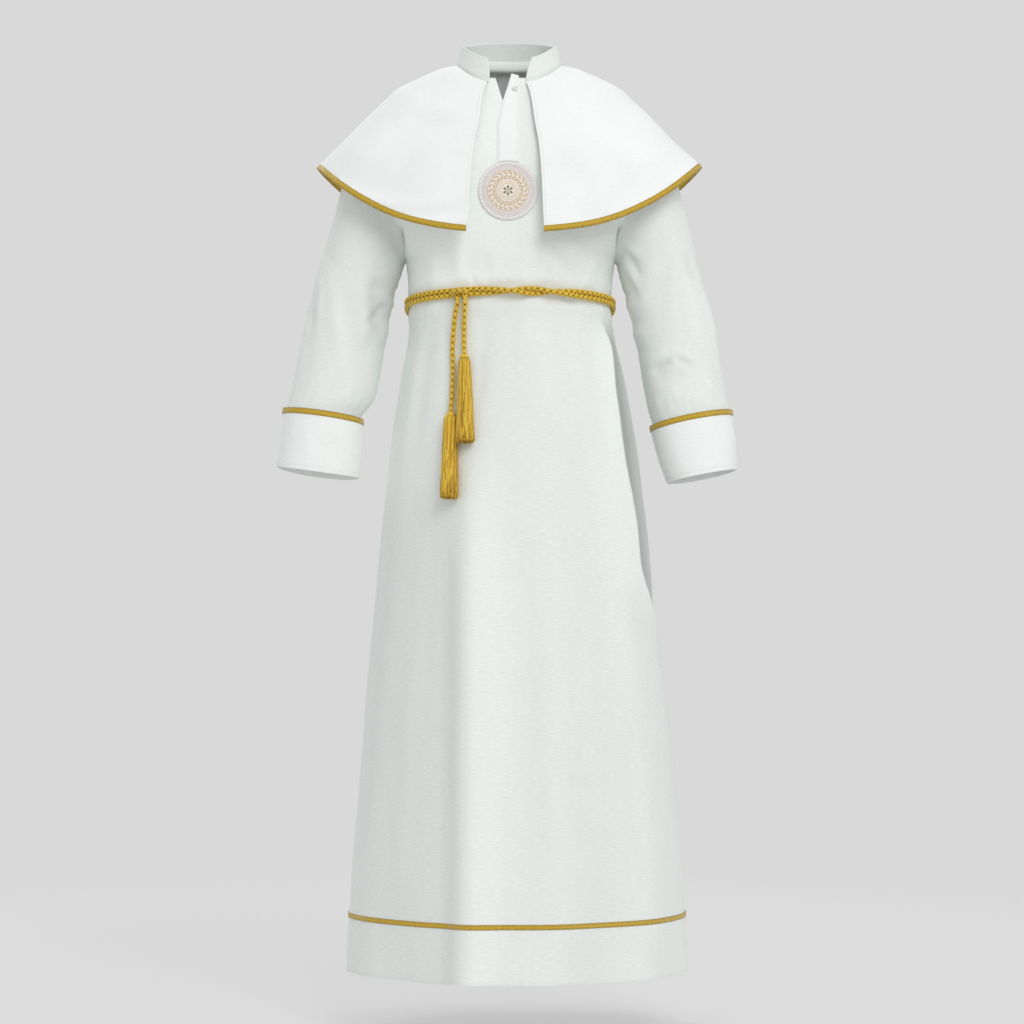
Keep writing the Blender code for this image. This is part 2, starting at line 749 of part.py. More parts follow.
def cord(name, route, parts, cyclic=False):
    curve = bpy.data.curves.new(name, "CURVE")
    curve.dimensions = "3D"
    curve.bevel_depth = CORD_RADIUS * MM
    curve.bevel_resolution = 2
    curve.use_fill_caps = not cyclic
    spline = curve.splines.new("POLY")
    spline.points.add(len(route) - 1)
    for point, place in zip(spline.points, route):
        point.co = (*(place * MM), 1.0)
    spline.use_cyclic_u = cyclic
    return add_object(name, curve, GOLD_CORD, parts)


def belt_z(angle):
    ahead = math.cos(math.radians(angle))
    return BELT_SIDE_Z + (BELT_FRONT_RISE if ahead > 0 else BELT_BACK_DROP) * ahead


def belt_angles():
    low, high, fine = BELT_FINE
    angles = [low + fine * n for n in range(round((high - low) / fine))]
    rest = 360.0 - (angles[-1] + fine - low)
    count = round(rest / BELT_COARSE)
    return angles + [angles[-1] + fine + rest * n / count for n in range(count)]


def belt_point(angle, strand):
    """The centre of one of the two cords. Strand 1 lies above strand -1 round the back."""
    turned = (angle + 180.0) % 360.0 - 180.0
    twist = math.radians(table_value(BELT_TWIST, turned))
    out = CORD_PAIR * math.cos(twist)
    lift = ROBE_WALL + CORD_CLOTH_GAP + CORD_RADIUS + abs(out) + strand * out
    point = skirt_point(angle, belt_z(angle), lift)
    point.z += strand * CORD_PAIR * math.sin(twist)
    return point


def angle_at(x, z):
    """The angle on the front of the skirt whose point has this x."""
    low, high = -89.0, 89.0
    for _ in range(40):
        middle = (low + high) / 2
        if skirt_point(middle, z).x < x:
            low = middle
        else:
            high = middle
    return (low + high) / 2


def before_skirt(x, z, stand_off):
    """A point before the skirt's outer face, by a stand-off along the ring's outward direction."""
    angle = angle_at(x, z)
    on_cloth = skirt_point(angle, z, ROBE_WALL)
    point = skirt_point(angle, z, ROBE_WALL + stand_off)
    slide = x - point.x
    along = skirt_point(angle + 1.0, z) - skirt_point(angle - 1.0, z)
    point += along.normalized() * (slide / along.normalized().x)
    return Vector((x, min(point.y, on_cloth.y - CORD_RADIUS - CORD_CLOTH_GAP), z))


def turn_route(end):
    """From the cloth above the belt, over its upper cord and down before the lower one."""
    x = end["turn_x"]
    upper = belt_point(angle_at(x, belt_z(0.0)), 1)
    lower = belt_point(angle_at(x, belt_z(0.0)), -1)
    reach = 2 * CORD_RADIUS + TURN_CORD_GAP
    ahead = reach * BELT_SLANT
    top_z = upper.z + reach
    cloth = skirt_point(angle_at(x, top_z), top_z, ROBE_WALL)
    start_y = cloth.y - TURN_CLOTH_GAP
    centre_y = min(upper.y, lower.y, start_y - TURN_LEAN)
    points = [Vector((x, start_y, top_z))]
    for step in range(TURN_STEPS + 1):
        turn = math.pi / 2 * (1.0 - step / TURN_STEPS)
        points.append(Vector((x, centre_y - ahead * math.cos(turn), upper.z + reach * math.sin(turn))))
    points.append(Vector((x, centre_y - ahead, (upper.z + lower.z) / 2)))
    points.append(Vector((x, centre_y - ahead, lower.z - TURN_FOOT_DROP)))
    return points


def make_tassel(name, head, foot, parts):
    """A turned head with locks that grow out of its underside and flare to ragged ends."""
    sides = TASSEL_SIDES
    shape = bmesh.new()

    def ring(radius, drop):
        turns = [2.0 * math.pi * n / sides for n in range(sides)]
        places = [(radius * math.cos(t), radius * math.sin(t), -drop) for t in turns]
        return [shape.verts.new(Vector(place) * MM) for place in places]

    def join(upper, lower):
        faces = []
        for number in range(sides):
            after = (number + 1) % sides
            corners = [upper[number], lower[number], lower[after], upper[after]]
            faces.append(shape.faces.new(corners))
        return faces

    rings = [ring(radius, drop) for radius, drop in TASSEL_HEAD]
    shape.faces.new(rings[0])
    for upper, lower in zip(rings, rings[1:]):
        join(upper, lower)
    root_drop = TASSEL_HEAD[-1][1]
    roots = [rings[-1]] + [ring(radius, root_drop) for radius in TASSEL_ROOTS[1:]]
    cells = join(roots[0], roots[1]) + join(roots[1], roots[2])
    shape.faces.new(roots[-1][::-1])
    bmesh.ops.recalc_face_normals(shape, faces=shape.faces)
    bmesh.ops.inset_individual(shape, faces=cells, thickness=TASSEL_ROOT_INSET * MM)
    draw = random.Random(name)
    lengths = [(foot - head).length - draw.uniform(0.0, RAGGED_ENDS) for _ in cells]
    last_spread = 1.0
    for share, spread in TASSEL_FLARE:
        cells = bmesh.ops.extrude_discrete_faces(shape, faces=cells)["faces"]
        for cell, length in zip(cells, lengths):
            for corner in cell.verts:
                flat = Vector((corner.co.x, corner.co.y, 0.0))
                corner.co = flat * (spread / last_spread) - Vector((0, 0, share * length * MM))
        last_spread = spread
    mesh = bpy.data.meshes.new(name)
    shape.to_mesh(mesh)
    shape.free()
    tassel = add_object(name, mesh, GOLD_CORD, parts)
    tassel.location = head * MM
    tassel.rotation_euler = (head - foot).to_track_quat("Z", "Y").to_euler()


def make_cincture(parts):
    angles = belt_angles()
    for name, strand in (("upper", 1), ("lower", -1)):
        route = [belt_point(angle, strand) for angle in angles]
        cord("cincture_" + name, route, parts, cyclic=True)
    for name, end in HANGING_ENDS.items():
        turn = turn_route(end)
        cord("cincture_turn_" + name, turn, parts)
        start = turn[-1] - Vector((0, 0, SEAM_GAP))
        below = start - Vector((0, 0, STRAIGHT_START))
        points = [start, below] + [before_skirt(*place) for place in end["route"]]
        route = smooth_route(points, CORD_POINT_SPACING)
        cord("cincture_end_" + name, route, parts)
        foot_x, foot_z = end["tassel_foot"]
        foot = before_skirt(foot_x, foot_z, TASSEL_CLEARANCE)
        down = (foot - route[-1]).normalized()
        make_tassel("tassel_" + name, route[-1] + down * SEAM_GAP, foot, parts)


def main():
    clear_scene()
    parts = new_collection("alb robe")
    cutters = new_collection("cutters", hidden=True)
    front = make_body(parts, cutters)
    make_sleeve(-1, "left", parts)
    make_sleeve(1, "right", parts)
    make_cape(parts)
    make_placket(front, parts)
    make_button(front, parts)
    make_medallion(front, parts)
    make_cincture(parts)


main()
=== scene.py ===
import math
import random

import bmesh
import bpy
import numpy as np
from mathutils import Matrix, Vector, noise
from mathutils.bvhtree import BVHTree


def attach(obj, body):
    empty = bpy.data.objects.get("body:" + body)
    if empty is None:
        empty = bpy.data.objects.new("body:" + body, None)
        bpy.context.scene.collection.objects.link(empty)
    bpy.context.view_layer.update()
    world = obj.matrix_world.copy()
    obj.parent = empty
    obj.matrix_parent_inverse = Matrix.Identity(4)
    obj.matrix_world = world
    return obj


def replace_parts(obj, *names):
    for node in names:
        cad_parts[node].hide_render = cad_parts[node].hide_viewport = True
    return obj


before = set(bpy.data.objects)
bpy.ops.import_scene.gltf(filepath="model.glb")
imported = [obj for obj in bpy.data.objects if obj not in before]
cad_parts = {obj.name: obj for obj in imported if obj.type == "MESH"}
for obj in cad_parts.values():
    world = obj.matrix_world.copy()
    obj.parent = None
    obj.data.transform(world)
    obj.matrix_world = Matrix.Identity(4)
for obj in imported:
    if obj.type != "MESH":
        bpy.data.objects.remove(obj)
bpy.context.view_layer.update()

mm = 0.001
root = "root"
print("alb: frame loaded")


# Small helpers

def linearColour(code):
    channels = [int(code[n:n + 2], 16) / 255 for n in (1, 3, 5)]
    return (*[c / 12.92 if c <= 0.04045 else ((c + 0.055) / 1.055) ** 2.4 for c in channels], 1.0)


def addNode(tree, kind, sockets=None, out=0, stops=(), **settings):  # gives the new node's output
    made = tree.nodes.new(kind)
    for name, value in settings.items():
        setattr(made, name, value)
    for name, value in (sockets or {}).items():
        if isinstance(value, bpy.types.NodeSocket):
            tree.links.new(value, made.inputs[name])
        else:
            made.inputs[name].default_value = value
    if stops:  # a colour ramp's places and colours, from its left
        band = made.color_ramp.elements
        while len(band) < len(stops):
            band.new(0.5)
        for element, (place, code) in zip(band, stops):
            element.position = place
            element.color = linearColour(code)
    return made.outputs[out]


def newMaterial(name, **values):
    material = bpy.data.materials.new(name)
    material.use_nodes = True
    shader = material.node_tree.nodes["Principled BSDF"]
    for socket, value in values.items():
        shader.inputs[socket.replace("_", " ")].default_value = value
    return material, material.node_tree, shader


def dressShader(tree, shader, colour, height, strength, relief):
    tree.links.new(colour, shader.inputs["Base Color"])
    bump = addNode(tree, "ShaderNodeBump", {"Height": height, "Strength": strength, "Distance": relief})
    tree.links.new(bump, shader.inputs["Normal"])


def addObject(name, data):
    made = bpy.data.objects.new(name, data)
    bpy.context.scene.collection.objects.link(made)
    return made


def between(low, high, share):
    return low + (high - low) * share


def smoothStep(share):
    share = np.clip(share, 0.0, 1.0)
    return share * share * (3.0 - 2.0 * share)


def bell(away, width):
    return np.exp(-((away / width) ** 2))


def unit(vectors):
    return vectors / np.linalg.norm(vectors, axis=-1, keepdims=True)


def rise(values, start, over):  # from 0 at the start to 1 after a stretch, which runs down if it is below 0
    return smoothStep((values - start) / over)


def fullTurn(sides):
    return 2.0 * math.pi * np.arange(sides) / sides


def lookUp(values, table, column=1):
    table = np.array(table, float)
    return np.interp(values, table[:, 0], table[:, column])


def distancesAlong(path):
    return np.concatenate([[0.0], np.cumsum(np.linalg.norm(np.diff(path, axis=0), axis=1))])


# The camera: level, as far off as a long portrait lens stands

cameraPlan = {
    "x": 4.05, "height": -583.2, "distance": 5500.0,  # mm from the neck's axis
    "frameWidth": 1382.4, "sensor": 36.0,  # mm across the frame at the garment and at the sensor
    "farthest": 60.0,  # m
}


def addCamera(plan):
    data = bpy.data.cameras.new("portraitLens")
    data.sensor_width = plan["sensor"]
    data.lens = plan["sensor"] * plan["distance"] / plan["frameWidth"]
    data.clip_end = plan["farthest"]
    camera = addObject("camera", data)
    camera.location = (plan["x"] * mm, -plan["distance"] * mm, plan["height"] * mm)
    camera.rotation_euler = (math.radians(90.0), 0.0, 0.0)
    bpy.context.scene.camera = camera


addCamera(cameraPlan)
print("alb: camera placed")


# Materials. Each pattern's scale is in millimetres of cloth or thread.

def clothMaps(tree):  # millimetres across and down the cloth, from its UV map in metres
    place = addNode(tree, "ShaderNodeTexCoord", out="UV")
    return addNode(tree, "ShaderNodeVectorMath", {0: place, "Scale": 1000.0}, operation="SCALE")


def mottle(tree, place, size, detail=2.0):  # soft blobs size[0] mm wide and size[1] mm high
    shrink = (1.0 / size[0], 1.0 / size[1], 1.0)
    place = addNode(tree, "ShaderNodeMapping", {"Vector": place, "Scale": shrink})
    sockets = {"Vector": place, "Scale": 1.0, "Detail": detail, "Roughness": 0.55}
    return addNode(tree, "ShaderNodeTexNoise", sockets)


bandGap = math.pi / 10.0  # at a scale of 1 the wave texture's bands, here threads, lie this far apart
unevenThread = {"Distortion": 1.2, "Detail": 2.0, "Detail Scale": 0.6}

linenPlan = {
    "light": "#F5F9F7", "middle": "#EEF3F0", "dark": "#E8EEEB",
    "folds": 0.065,  # painted shade in a fold's bottom and painted light on its crest
    "thread": 1.3,  # real threads lie 0.45 mm apart: too fine to show, so drawn three times as coarse
    "slub": (10.0, 1.5), "fleck": (2.6, 1.7), "relief": 0.00008,
}
# A lighter copy: two layers let less light through and look whiter, as on the placket and the cuffs; on the
# single-layer cape the lighter colour is painted light.
doubledAndPaintedLitPlan = linenPlan | {"light": "#FDFFFE", "middle": "#F9FCFA", "dark": "#F4F7F5"}


def makeLinen(name, plan):  # plain-woven polyester: dull white, its short crosswise slubs catch the light
    material, tree, shader = newMaterial(name, Roughness=0.82, IOR=1.5, Specular_IOR_Level=0.28,
                                         Sheen_Weight=0.12, Sheen_Roughness=0.45)
    place = clothMaps(tree)
    slubs = mottle(tree, place, plan["slub"], 1.0)
    flecks = mottle(tree, place, plan["fleck"])
    threads = {"Vector": place, "Scale": bandGap / plan["thread"], **unevenThread}
    weft = addNode(tree, "ShaderNodeTexWave", threads, out="Fac", bands_direction="Y")
    warp = addNode(tree, "ShaderNodeTexWave", threads, out="Fac", bands_direction="X")
    weave = addNode(tree, "ShaderNodeMath", {0: weft, 1: warp}, operation="MULTIPLY")
    tone = addNode(tree, "ShaderNodeMath", {0: flecks, 1: 0.45, 2: slubs}, operation="MULTIPLY_ADD")
    tone = addNode(tree, "ShaderNodeMath", {0: weave, 1: 0.1, 2: tone}, operation="MULTIPLY_ADD")
    stops = [(0.52, plan["dark"]), (0.68, plan["middle"]), (0.82, plan["middle"]), (0.96, plan["light"])]
    unshaded = addNode(tree, "ShaderNodeValToRGB", {"Fac": tone}, stops=stops)
    # The tone attribute holds painted shade and light: shade in troughs and behind the skirt's side edge,
    # light on crests and on the left of the front.
    folds = addNode(tree, "ShaderNodeAttribute", out="Fac", attribute_name="tone")
    shade = addNode(tree, "ShaderNodeMath", {0: folds, 1: plan["folds"], 2: 1.0}, operation="MULTIPLY_ADD")
    colour = addNode(tree, "ShaderNodeVectorMath", {0: unshaded, "Scale": shade}, operation="SCALE")
    height = addNode(tree, "ShaderNodeMath", {0: slubs, 1: 1.8, 2: weave}, operation="MULTIPLY_ADD")
    dressShader(tree, shader, colour, height, 0.5, plan["relief"])
    return material


satinPlan = {"slant": 0.0, "share": 0.5, "patch": (6.0, 6.0), "edges": 0.0, "stops": (0.35, 0.8),
             "strength": 0.6, "relief": 0.0002, "sheen": (0.2, 0.4)}
braidPlan = {"slant": 38.0, "share": 0.45, "patch": (5.0, 1.6), "stops": (0.34, 0.72),
             "edges": 0.17,  # painted shade on its edges and painted light along its middle
             "strength": 0.7, "relief": 0.00035, "sheen": (0.25, 0.35)}


# Rayon threads side by side: a soft gloss that runs along them.
def makeThreads(name, light, dark, spacing, direction="Y", plan=satinPlan):
    material, tree, shader = newMaterial(name, Roughness=0.42, IOR=1.48, Specular_IOR_Level=0.5,
                                         Sheen_Weight=plan["sheen"][0], Sheen_Roughness=plan["sheen"][1])
    place = clothMaps(tree)
    turn = (0.0, 0.0, math.radians(plan["slant"]))
    slanted = addNode(tree, "ShaderNodeMapping", {"Vector": place, "Rotation": turn})
    sockets = {"Vector": slanted, "Scale": bandGap / spacing, **unevenThread}
    threads = addNode(tree, "ShaderNodeTexWave", sockets, out="Fac", bands_direction=direction)
    mixed = {0: threads, 1: plan["share"], 2: mottle(tree, place, plan["patch"])}
    tone = addNode(tree, "ShaderNodeMath", mixed, operation="MULTIPLY_ADD")
    # The tone attribute paints shade on a braid's edges and light along its middle.
    edges = addNode(tree, "ShaderNodeAttribute", out="Fac", attribute_name="tone")
    tone = addNode(tree, "ShaderNodeMath", {0: edges, 1: plan["edges"], 2: tone}, operation="MULTIPLY_ADD")
    stops = list(zip(plan["stops"], (dark, light)))
    colour = addNode(tree, "ShaderNodeValToRGB", {"Fac": tone}, stops=stops)
    dressShader(tree, shader, colour, threads, plan["strength"], plan["relief"])
    return material


ropePlan = {
    "stops": [(0.0, "#4A3806"), (0.42, "#D0A01C"), (0.95, "#F2CE3C")],
    "fleck": 260.0, "gain": 1.5, "drop": 0.75, "roughness": 0.4, "level": 0.5,
    "ply": 0.55, "strength": 0.6, "relief": 0.00018,
}
tasselPlan = {
    "stops": [(0.1, "#8E6408"), (0.45, "#E8B01C"), (0.9, "#FFE25A")],
    "fleck": 430.0, "gain": 2.6, "drop": 1.35, "roughness": 0.5, "level": 0.35,
    "ply": None, "strength": 0.7, "relief": 0.0005,
}


# Rayon yarn is gold. Its tone attribute paints light where a rope's strand comes over and olive brown shade
# where it dives under; on a tassel it varies at random from strand to strand.
def makeYarn(name, plan):
    material, tree, shader = newMaterial(name, Roughness=plan["roughness"], IOR=1.48, Sheen_Weight=0.2,
                                         Specular_IOR_Level=plan["level"], Sheen_Roughness=0.4)
    grain = addNode(tree, "ShaderNodeTexNoise", {"Scale": plan["fleck"], "Detail": 3.0})
    depth = addNode(tree, "ShaderNodeAttribute", out="Fac", attribute_name="tone")
    tone = addNode(tree, "ShaderNodeMath", {0: depth, 1: plan["drop"]}, operation="SUBTRACT")
    tone = addNode(tree, "ShaderNodeMath", {0: grain, 1: plan["gain"], 2: tone}, operation="MULTIPLY_ADD")
    colour = addNode(tree, "ShaderNodeValToRGB", {"Fac": tone}, stops=plan["stops"])
    height = grain
    if plan["ply"]:
        plies = {"Vector": clothMaps(tree), "Scale": bandGap / plan["ply"], **unevenThread}
        height = addNode(tree, "ShaderNodeTexWave", plies, out="Fac", bands_direction="X")
    dressShader(tree, shader, colour, height, plan["strength"], plan["relief"])
    return material


def makeClouded(name, dark, light, stop, scale, distortion=0.0, **values):
    material, tree, shader = newMaterial(name, **values)
    clouds = addNode(tree, "ShaderNodeTexNoise", {"Scale": scale, "Distortion": distortion})
    colour = addNode(tree, "ShaderNodeValToRGB", {"Fac": clouds}, stops=[(0.3, dark), (stop, light)])
    tree.links.new(colour, shader.inputs["Base Color"])
    return material


linen = makeLinen("linenLookPolyester", linenPlan)
doubledAndPaintedLitLinen = makeLinen("doubledAndPaintedLitLinenLookPolyester", doubledAndPaintedLitPlan)
# Woven braid is silky, and duller where its threads dip.
goldBraid = makeThreads("goldRayonBraid", "#D4AF2E", "#7A620E", 1.1, "X", braidPlan)
rope = makeYarn("braidedRayonRope", ropePlan)
tasselYarn = makeYarn("looseRayonYarn", tasselPlan)
pinkSatin = makeThreads("paleRoseSatinStitch", "#FAF1EF", "#EDE1DF", 0.9)
creamSatin = makeThreads("creamSatinStitch", "#FAF3EA", "#EBDFD0", 0.9, "X")
whiteSatin = makeThreads("whiteSatinStitch", "#FBFBF9", "#E3E2E0", 0.7, "X")
greySatin = makeThreads("silverGreySatinStitch", "#DDDAD8", "#B4B0AE", 0.7, "X")
brownSatin = makeThreads("mushroomBrownSatinStitch", "#A8977C", "#6F6250", 0.7)
goldSatin = makeThreads("antiqueGoldSatinStitch", "#E2CC94", "#BBA064", 0.7)
# Spun thread is matt and a shade darker than the cloth, so that a row of it shows.
sewingThread = makeClouded("spunPolyesterThread", "#C9CECB", "#E9ECEA", 0.75, 900.0, Roughness=0.7, IOR=1.5)
# A pearl button is a cool white with cloudy depth and a wet gloss.
pearl = makeClouded("pearlPolyester", "#D9DEE0", "#F7F6F2", 0.7, 420.0, 1.5, Roughness=0.16, IOR=1.53,
                    Coat_Weight=0.4, Coat_Roughness=0.08)
print("alb: materials made")


# Cloth grids: arrays of rows by columns by three, in millimetres, from the neck down

def gridNormals(points, closed=False):
    if closed:
        across = np.roll(points, -1, axis=1) - np.roll(points, 1, axis=1)
    else:
        across = np.gradient(points, axis=1)
    return unit(np.cross(np.gradient(points, axis=0), across))


# Smooth rows through the given ones. Spacing: a row's number, and the mm between the rows made there.
def loft(rows, spacing):
    rows = np.array(rows, float)
    gaps = np.linalg.norm(np.diff(rows, axis=0), axis=2).mean(axis=1)
    knots = np.concatenate([[0.0], np.cumsum(gaps)])
    slopes = np.diff(rows, axis=0) / gaps[:, None, None]
    before, after = gaps[:-1, None, None], gaps[1:, None, None]
    middles = (slopes[:-1] * after + slopes[1:] * before) / (before + after)
    tangents = np.concatenate([slopes[:1], middles, slopes[-1:]])
    fineStep = 0.5
    fine = np.arange(0.0, knots[-1], fineStep)
    grown = np.cumsum(1.0 / lookUp(np.interp(fine, knots, np.arange(len(knots))), spacing))
    count = max(2, round(grown[-1] * fineStep))
    places = np.interp(np.linspace(grown[0], grown[-1], count + 1), grown, fine)
    places[-1] = knots[-1]
    index = np.clip(np.searchsorted(knots, places, side="right") - 1, 0, len(gaps) - 1)
    width = gaps[index][:, None, None]
    s = (places - knots[index])[:, None, None] / width  # the share of the way to the next given row
    dense = (2 * s**3 - 3 * s**2 + 1) * rows[index] + (3 * s**2 - 2 * s**3) * rows[index + 1]
    dense += width * ((s**3 - 2 * s**2 + s) * tangents[index] + (s**3 - s**2) * tangents[index + 1])
    return dense, places, knots


def rowsAt(points, places, wanted):  # rows of a grid at the wanted distances down it
    found = np.interp(wanted, places, np.arange(len(places)))
    low = np.clip(found.astype(int), 0, len(places) - 2)
    return between(points[low], points[low + 1], (found - low)[:, None, None])


def rowsOf(cloth, wanted):  # a cloth's points and normals there
    return [rowsAt(cloth[key], cloth["places"], wanted) for key in ("points", "normals")]


def arcLengths(points, zero=0):  # how far each point lies along its row from the zero column
    steps = np.linalg.norm(np.diff(points, axis=1), axis=2)
    arcs = np.concatenate([np.zeros((len(points), 1)), np.cumsum(steps, axis=1)], axis=1)
    return arcs - arcs[:, zero][:, None]


def creaseDepth(across, height, creases):  # ridges above 0 and troughs below, each fading out at both ends
    total = np.zeros(np.broadcast(across, height).shape)
    for startAcross, startHeight, endAcross, endHeight, width, depth in creases:
        run = np.array([endAcross - startAcross, endHeight - startHeight])
        share = ((across - startAcross) * run[0] + (height - startHeight) * run[1]) / (run @ run)
        share = np.clip(share, 0.0, 1.0)
        away = np.hypot(across - startAcross - share * run[0], height - startHeight - share * run[1])
        total += depth * smoothStep(share / 0.35) * smoothStep((1.0 - share) / 0.35) * bell(away, width)
    return total


def creasesOn(points, normals, creases):  # creases drawn as seen from the front, the back or a side
    x, y, z = np.moveaxis(points, 2, 0)
    views = {"front": (x, -normals[..., 1]), "back": (x, normals[..., 1]),
             "left": (y, -normals[..., 0]), "right": (y, normals[..., 0])}
    total = np.zeros(x.shape)
    for view, table in creases.items():
        across, facing = views[view]
        total += creaseDepth(across, z, table) * smoothStep(facing / 0.6)
    return total


def softNoise(points, size, height, seed=0.0):  # a gentle unevenness, with hollows about size mm apart
    flat = points.reshape(-1, 3) / size + seed
    return height * np.array([noise.noise(Vector(point)) for point in flat]).reshape(points.shape[:2])


def pucker(distance, along, pitch, height, reach, seed=0.0):  # ripples that run away from a seam and die out
    # Slow waves keep the ripples uneven.
    wobble = np.sin(along / (pitch * 4.3) + seed) * 2.0 + np.sin(along / (pitch * 9.1) + seed * 2.0) * 3.0
    wave = np.sin(2.0 * math.pi * along / pitch + wobble) * (0.6 + 0.4 * np.sin(along / (pitch * 2.7) + seed))
    return height * wave * bell(distance, reach)


def paintedFoldShading(depth):  # painted shade and light from a cloth's folds' depth: shade below 0 in a trough, light above 0 on a ridge
    return np.tanh(np.asarray(depth) / 4.5)


def gridFaces(rowCount, columnCount, closed=False, cyclic=False, first=0):
    faces = []
    for row in range(rowCount if cyclic else rowCount - 1):
        top, foot = first + row * columnCount, first + (row + 1) % rowCount * columnCount
        for column in range(columnCount if closed else columnCount - 1):
            after = (column + 1) % columnCount
            faces.append((top + column, foot + column, foot + after, top + after))
    return faces


# The maps are the places of the faces' corners on the cloth, in mm, and the tones go to the points.
def meshPiece(name, points, faces, material, maps=None, tones=None):
    mesh = bpy.data.meshes.new(name)
    mesh.from_pydata((np.asarray(points, float).reshape(-1, 3) * mm).tolist(), [], faces)
    if maps is not None:
        mesh.uv_layers.new(name="cloth").data.foreach_set("uv", (np.asarray(maps, np.float32) * mm).ravel())
    if tones is not None:
        attribute = mesh.attributes.new("tone", "FLOAT", "POINT")
        attribute.data.foreach_set("value", np.asarray(tones, np.float32).ravel())
    mesh.materials.append(material)
    mesh.shade_smooth()
    piece = addObject(name, mesh)
    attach(piece, root)
    return piece


def gridPiece(name, points, material, across=None, down=None, closed=False, tones=None):
    if across is None:
        across = arcLengths(points)
    if down is None:
        steps = np.linalg.norm(np.diff(points, axis=0), axis=2).mean(axis=1)
        down = np.concatenate([[0.0], np.cumsum(steps)])
    if closed:
        lastStep = np.linalg.norm(points[:, 0] - points[:, -1], axis=1)
        across = np.concatenate([across, (across[:, -1] + lastStep)[:, None]], axis=1)
    corners = np.stack([across, -np.broadcast_to(np.asarray(down)[:, None], across.shape)], axis=2)
    blocks = [corners[:-1, :-1], corners[1:, :-1], corners[1:, 1:], corners[:-1, 1:]]
    maps = np.stack(blocks, axis=2).reshape(-1, 2)
    return meshPiece(name, points, gridFaces(*points.shape[:2], closed), material, maps, tones)


def giveWall(piece, wall, bevel=0.0, offset=-1.0):
    solidify = piece.modifiers.new("Wall", "SOLIDIFY")
    solidify.thickness = wall * mm
    solidify.offset = offset
    if bevel:
        rounding = piece.modifiers.new("Turned edges", "BEVEL")
        rounding.width = bevel * mm
        rounding.segments = 2
        rounding.limit_method = "ANGLE"
        rounding.angle_limit = math.radians(50.0)


def dressSheet(piece, node, grid, plan):  # gives a soft piece its wall, hides the solid that it stands in for, and returns its area
    giveWall(piece, plan["wall"], plan["bevel"])
    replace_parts(piece, node)
    steps = np.cross(np.diff(grid, axis=1)[:-1], np.diff(grid, axis=0)[:, :-1])
    area = float(np.linalg.norm(steps, axis=2).sum()) * mm * mm  # the cloth's own area in square metres
    print("alb:", piece.name, "area", round(area, 4))
    return area


# The alb's body: the same rings as its solids, measured on the cloth's inner face

bodyPlan = {
    "columns": 150, "lift": 1.6, "wall": 1.0, "bevel": 0.35, "dropPower": 2.5, "seamGap": 0.15,
    "spacing": [(0, 4.5), (12, 5.0), (14, 2.6), (17, 2.6), (19, 5.5), (28, 6.5)],
    "shoulders": [  # half, side, front, frontZ, back, backZ
        (62, 12, 55.5, -4, 60.5, 21), (90.5, 9, 66, -24, 73, 10), (114, 1.6, 76, -44, 84, -6),
        (148, -14.8, 88, -69, 96, -30), (167.5, -32.5, 95, -88, 103, -54),
        (187.2, -60, 101, -108, 109, -80),
    ],
    "neckBack": (65.2, 19.0, 60.0, 2.0, 64.0, 32.0),  # the back's own first row rises to the collar's seam
    "armholes": [  # front, frontZ, back, backZ
        (104, -124, 112, -98), (106, -141, 114, -118), (108, -160, 115.5, -142), (109.5, -181, 116, -168),
        (110.5, -203, 115.5, -195), (110.5, -223, 114, -219), (110, -236, 112, -236),
    ],
    "armholeDepth": 60.0, "armholeY": 3.0,
    "armholeTop": (187.2, -60.0), "armholeFoot": {-1: (137.6, -243.5), 1: (141.9, -243.5)},
    "skirt": [  # z, left, right, front, back
        (-243.5, 137.6, 141.9, 109.5, 109.5), (-270, 134.4, 137.9, 106.5, 104.5),
        (-297, 132, 134.8, 102.5, 97), (-325, 132.4, 136.6, 103.5, 96.8), (-358, 135.4, 143.9, 108, 101.5),
        (-412, 145.4, 156.4, 115.5, 115), (-486, 156.4, 169.9, 125.5, 131.5),
        (-560, 165.4, 180, 135.5, 145), (-650, 175.8, 190.4, 147, 157.5),
        (-738, 183.4, 199.4, 157.5, 167.5), (-833, 191.4, 211, 168.5, 177.5), (-930, 198, 220, 178.5, 186),
        (-1030, 206.6, 229.6, 188.5, 194.5), (-1120.5, 212.6, 235.6, 196.5, 202),
        (-1127.5, 213, 236, 197, 202.5), (-1199, 216.4, 240.4, 203.5, 208.5),
    ],
    "folds": [  # angle, width, depth, top, full, foot
        (-15, 9, 7, -330, -800, -1199), (14, 10, 5, -330, -800, -1199), (-48, 12, -4, -340, -900, -1199),
        (80, 8, -5, -325, -480, -740), (52, 12, 3, -340, -800, -1199), (-80, 9, 3, -400, -900, -1199),
        (154, 11, 8, -330, -850, -1199), (205, 12, 7, -330, -850, -1199), (180, 9, -6, -330, -850, -1199),
        (233, 9, -5, -360, -850, -1199), (127, 9, -5, -360, -850, -1199),
    ],
}


def foldDepth(angle, z, folds=bodyPlan["folds"]):
    depth = 0.0
    for centre, width, height, top, full, foot in folds:
        grown = smoothStep((top - z) / (top - full))
        if foot > bodyPlan["skirt"][-1][0]:
            grown = grown * smoothStep((z - foot) / (full - foot))
        depth = depth + height * grown * bell((angle - centre + 180.0) % 360.0 - 180.0, width)
    return depth


def skirtSizes(z):  # how far the skirt reaches left, right, forward and back at a height
    return [lookUp(z, bodyPlan["skirt"][::-1], column) for column in range(1, 5)]


# Points on the skirt's inner face, moved out by a lift. The angle is 0 in front and 90 at the viewer's right.
def skirtPoints(angle, z, lift=0.0):
    left, right, front, back = skirtSizes(z)
    turn = np.radians(angle)
    half = np.where(np.sin(turn) > 0, right, left)
    depth = np.where(np.cos(turn) > 0, front, back)
    point = np.stack([half * np.sin(turn), -depth * np.cos(turn), z + 0.0 * turn], axis=-1)
    out = unit(np.stack([np.sin(turn) / half, -np.cos(turn) / depth, 0.0 * turn], axis=-1))
    return point + out * np.asarray(lift + foldDepth(angle, z))[..., None]


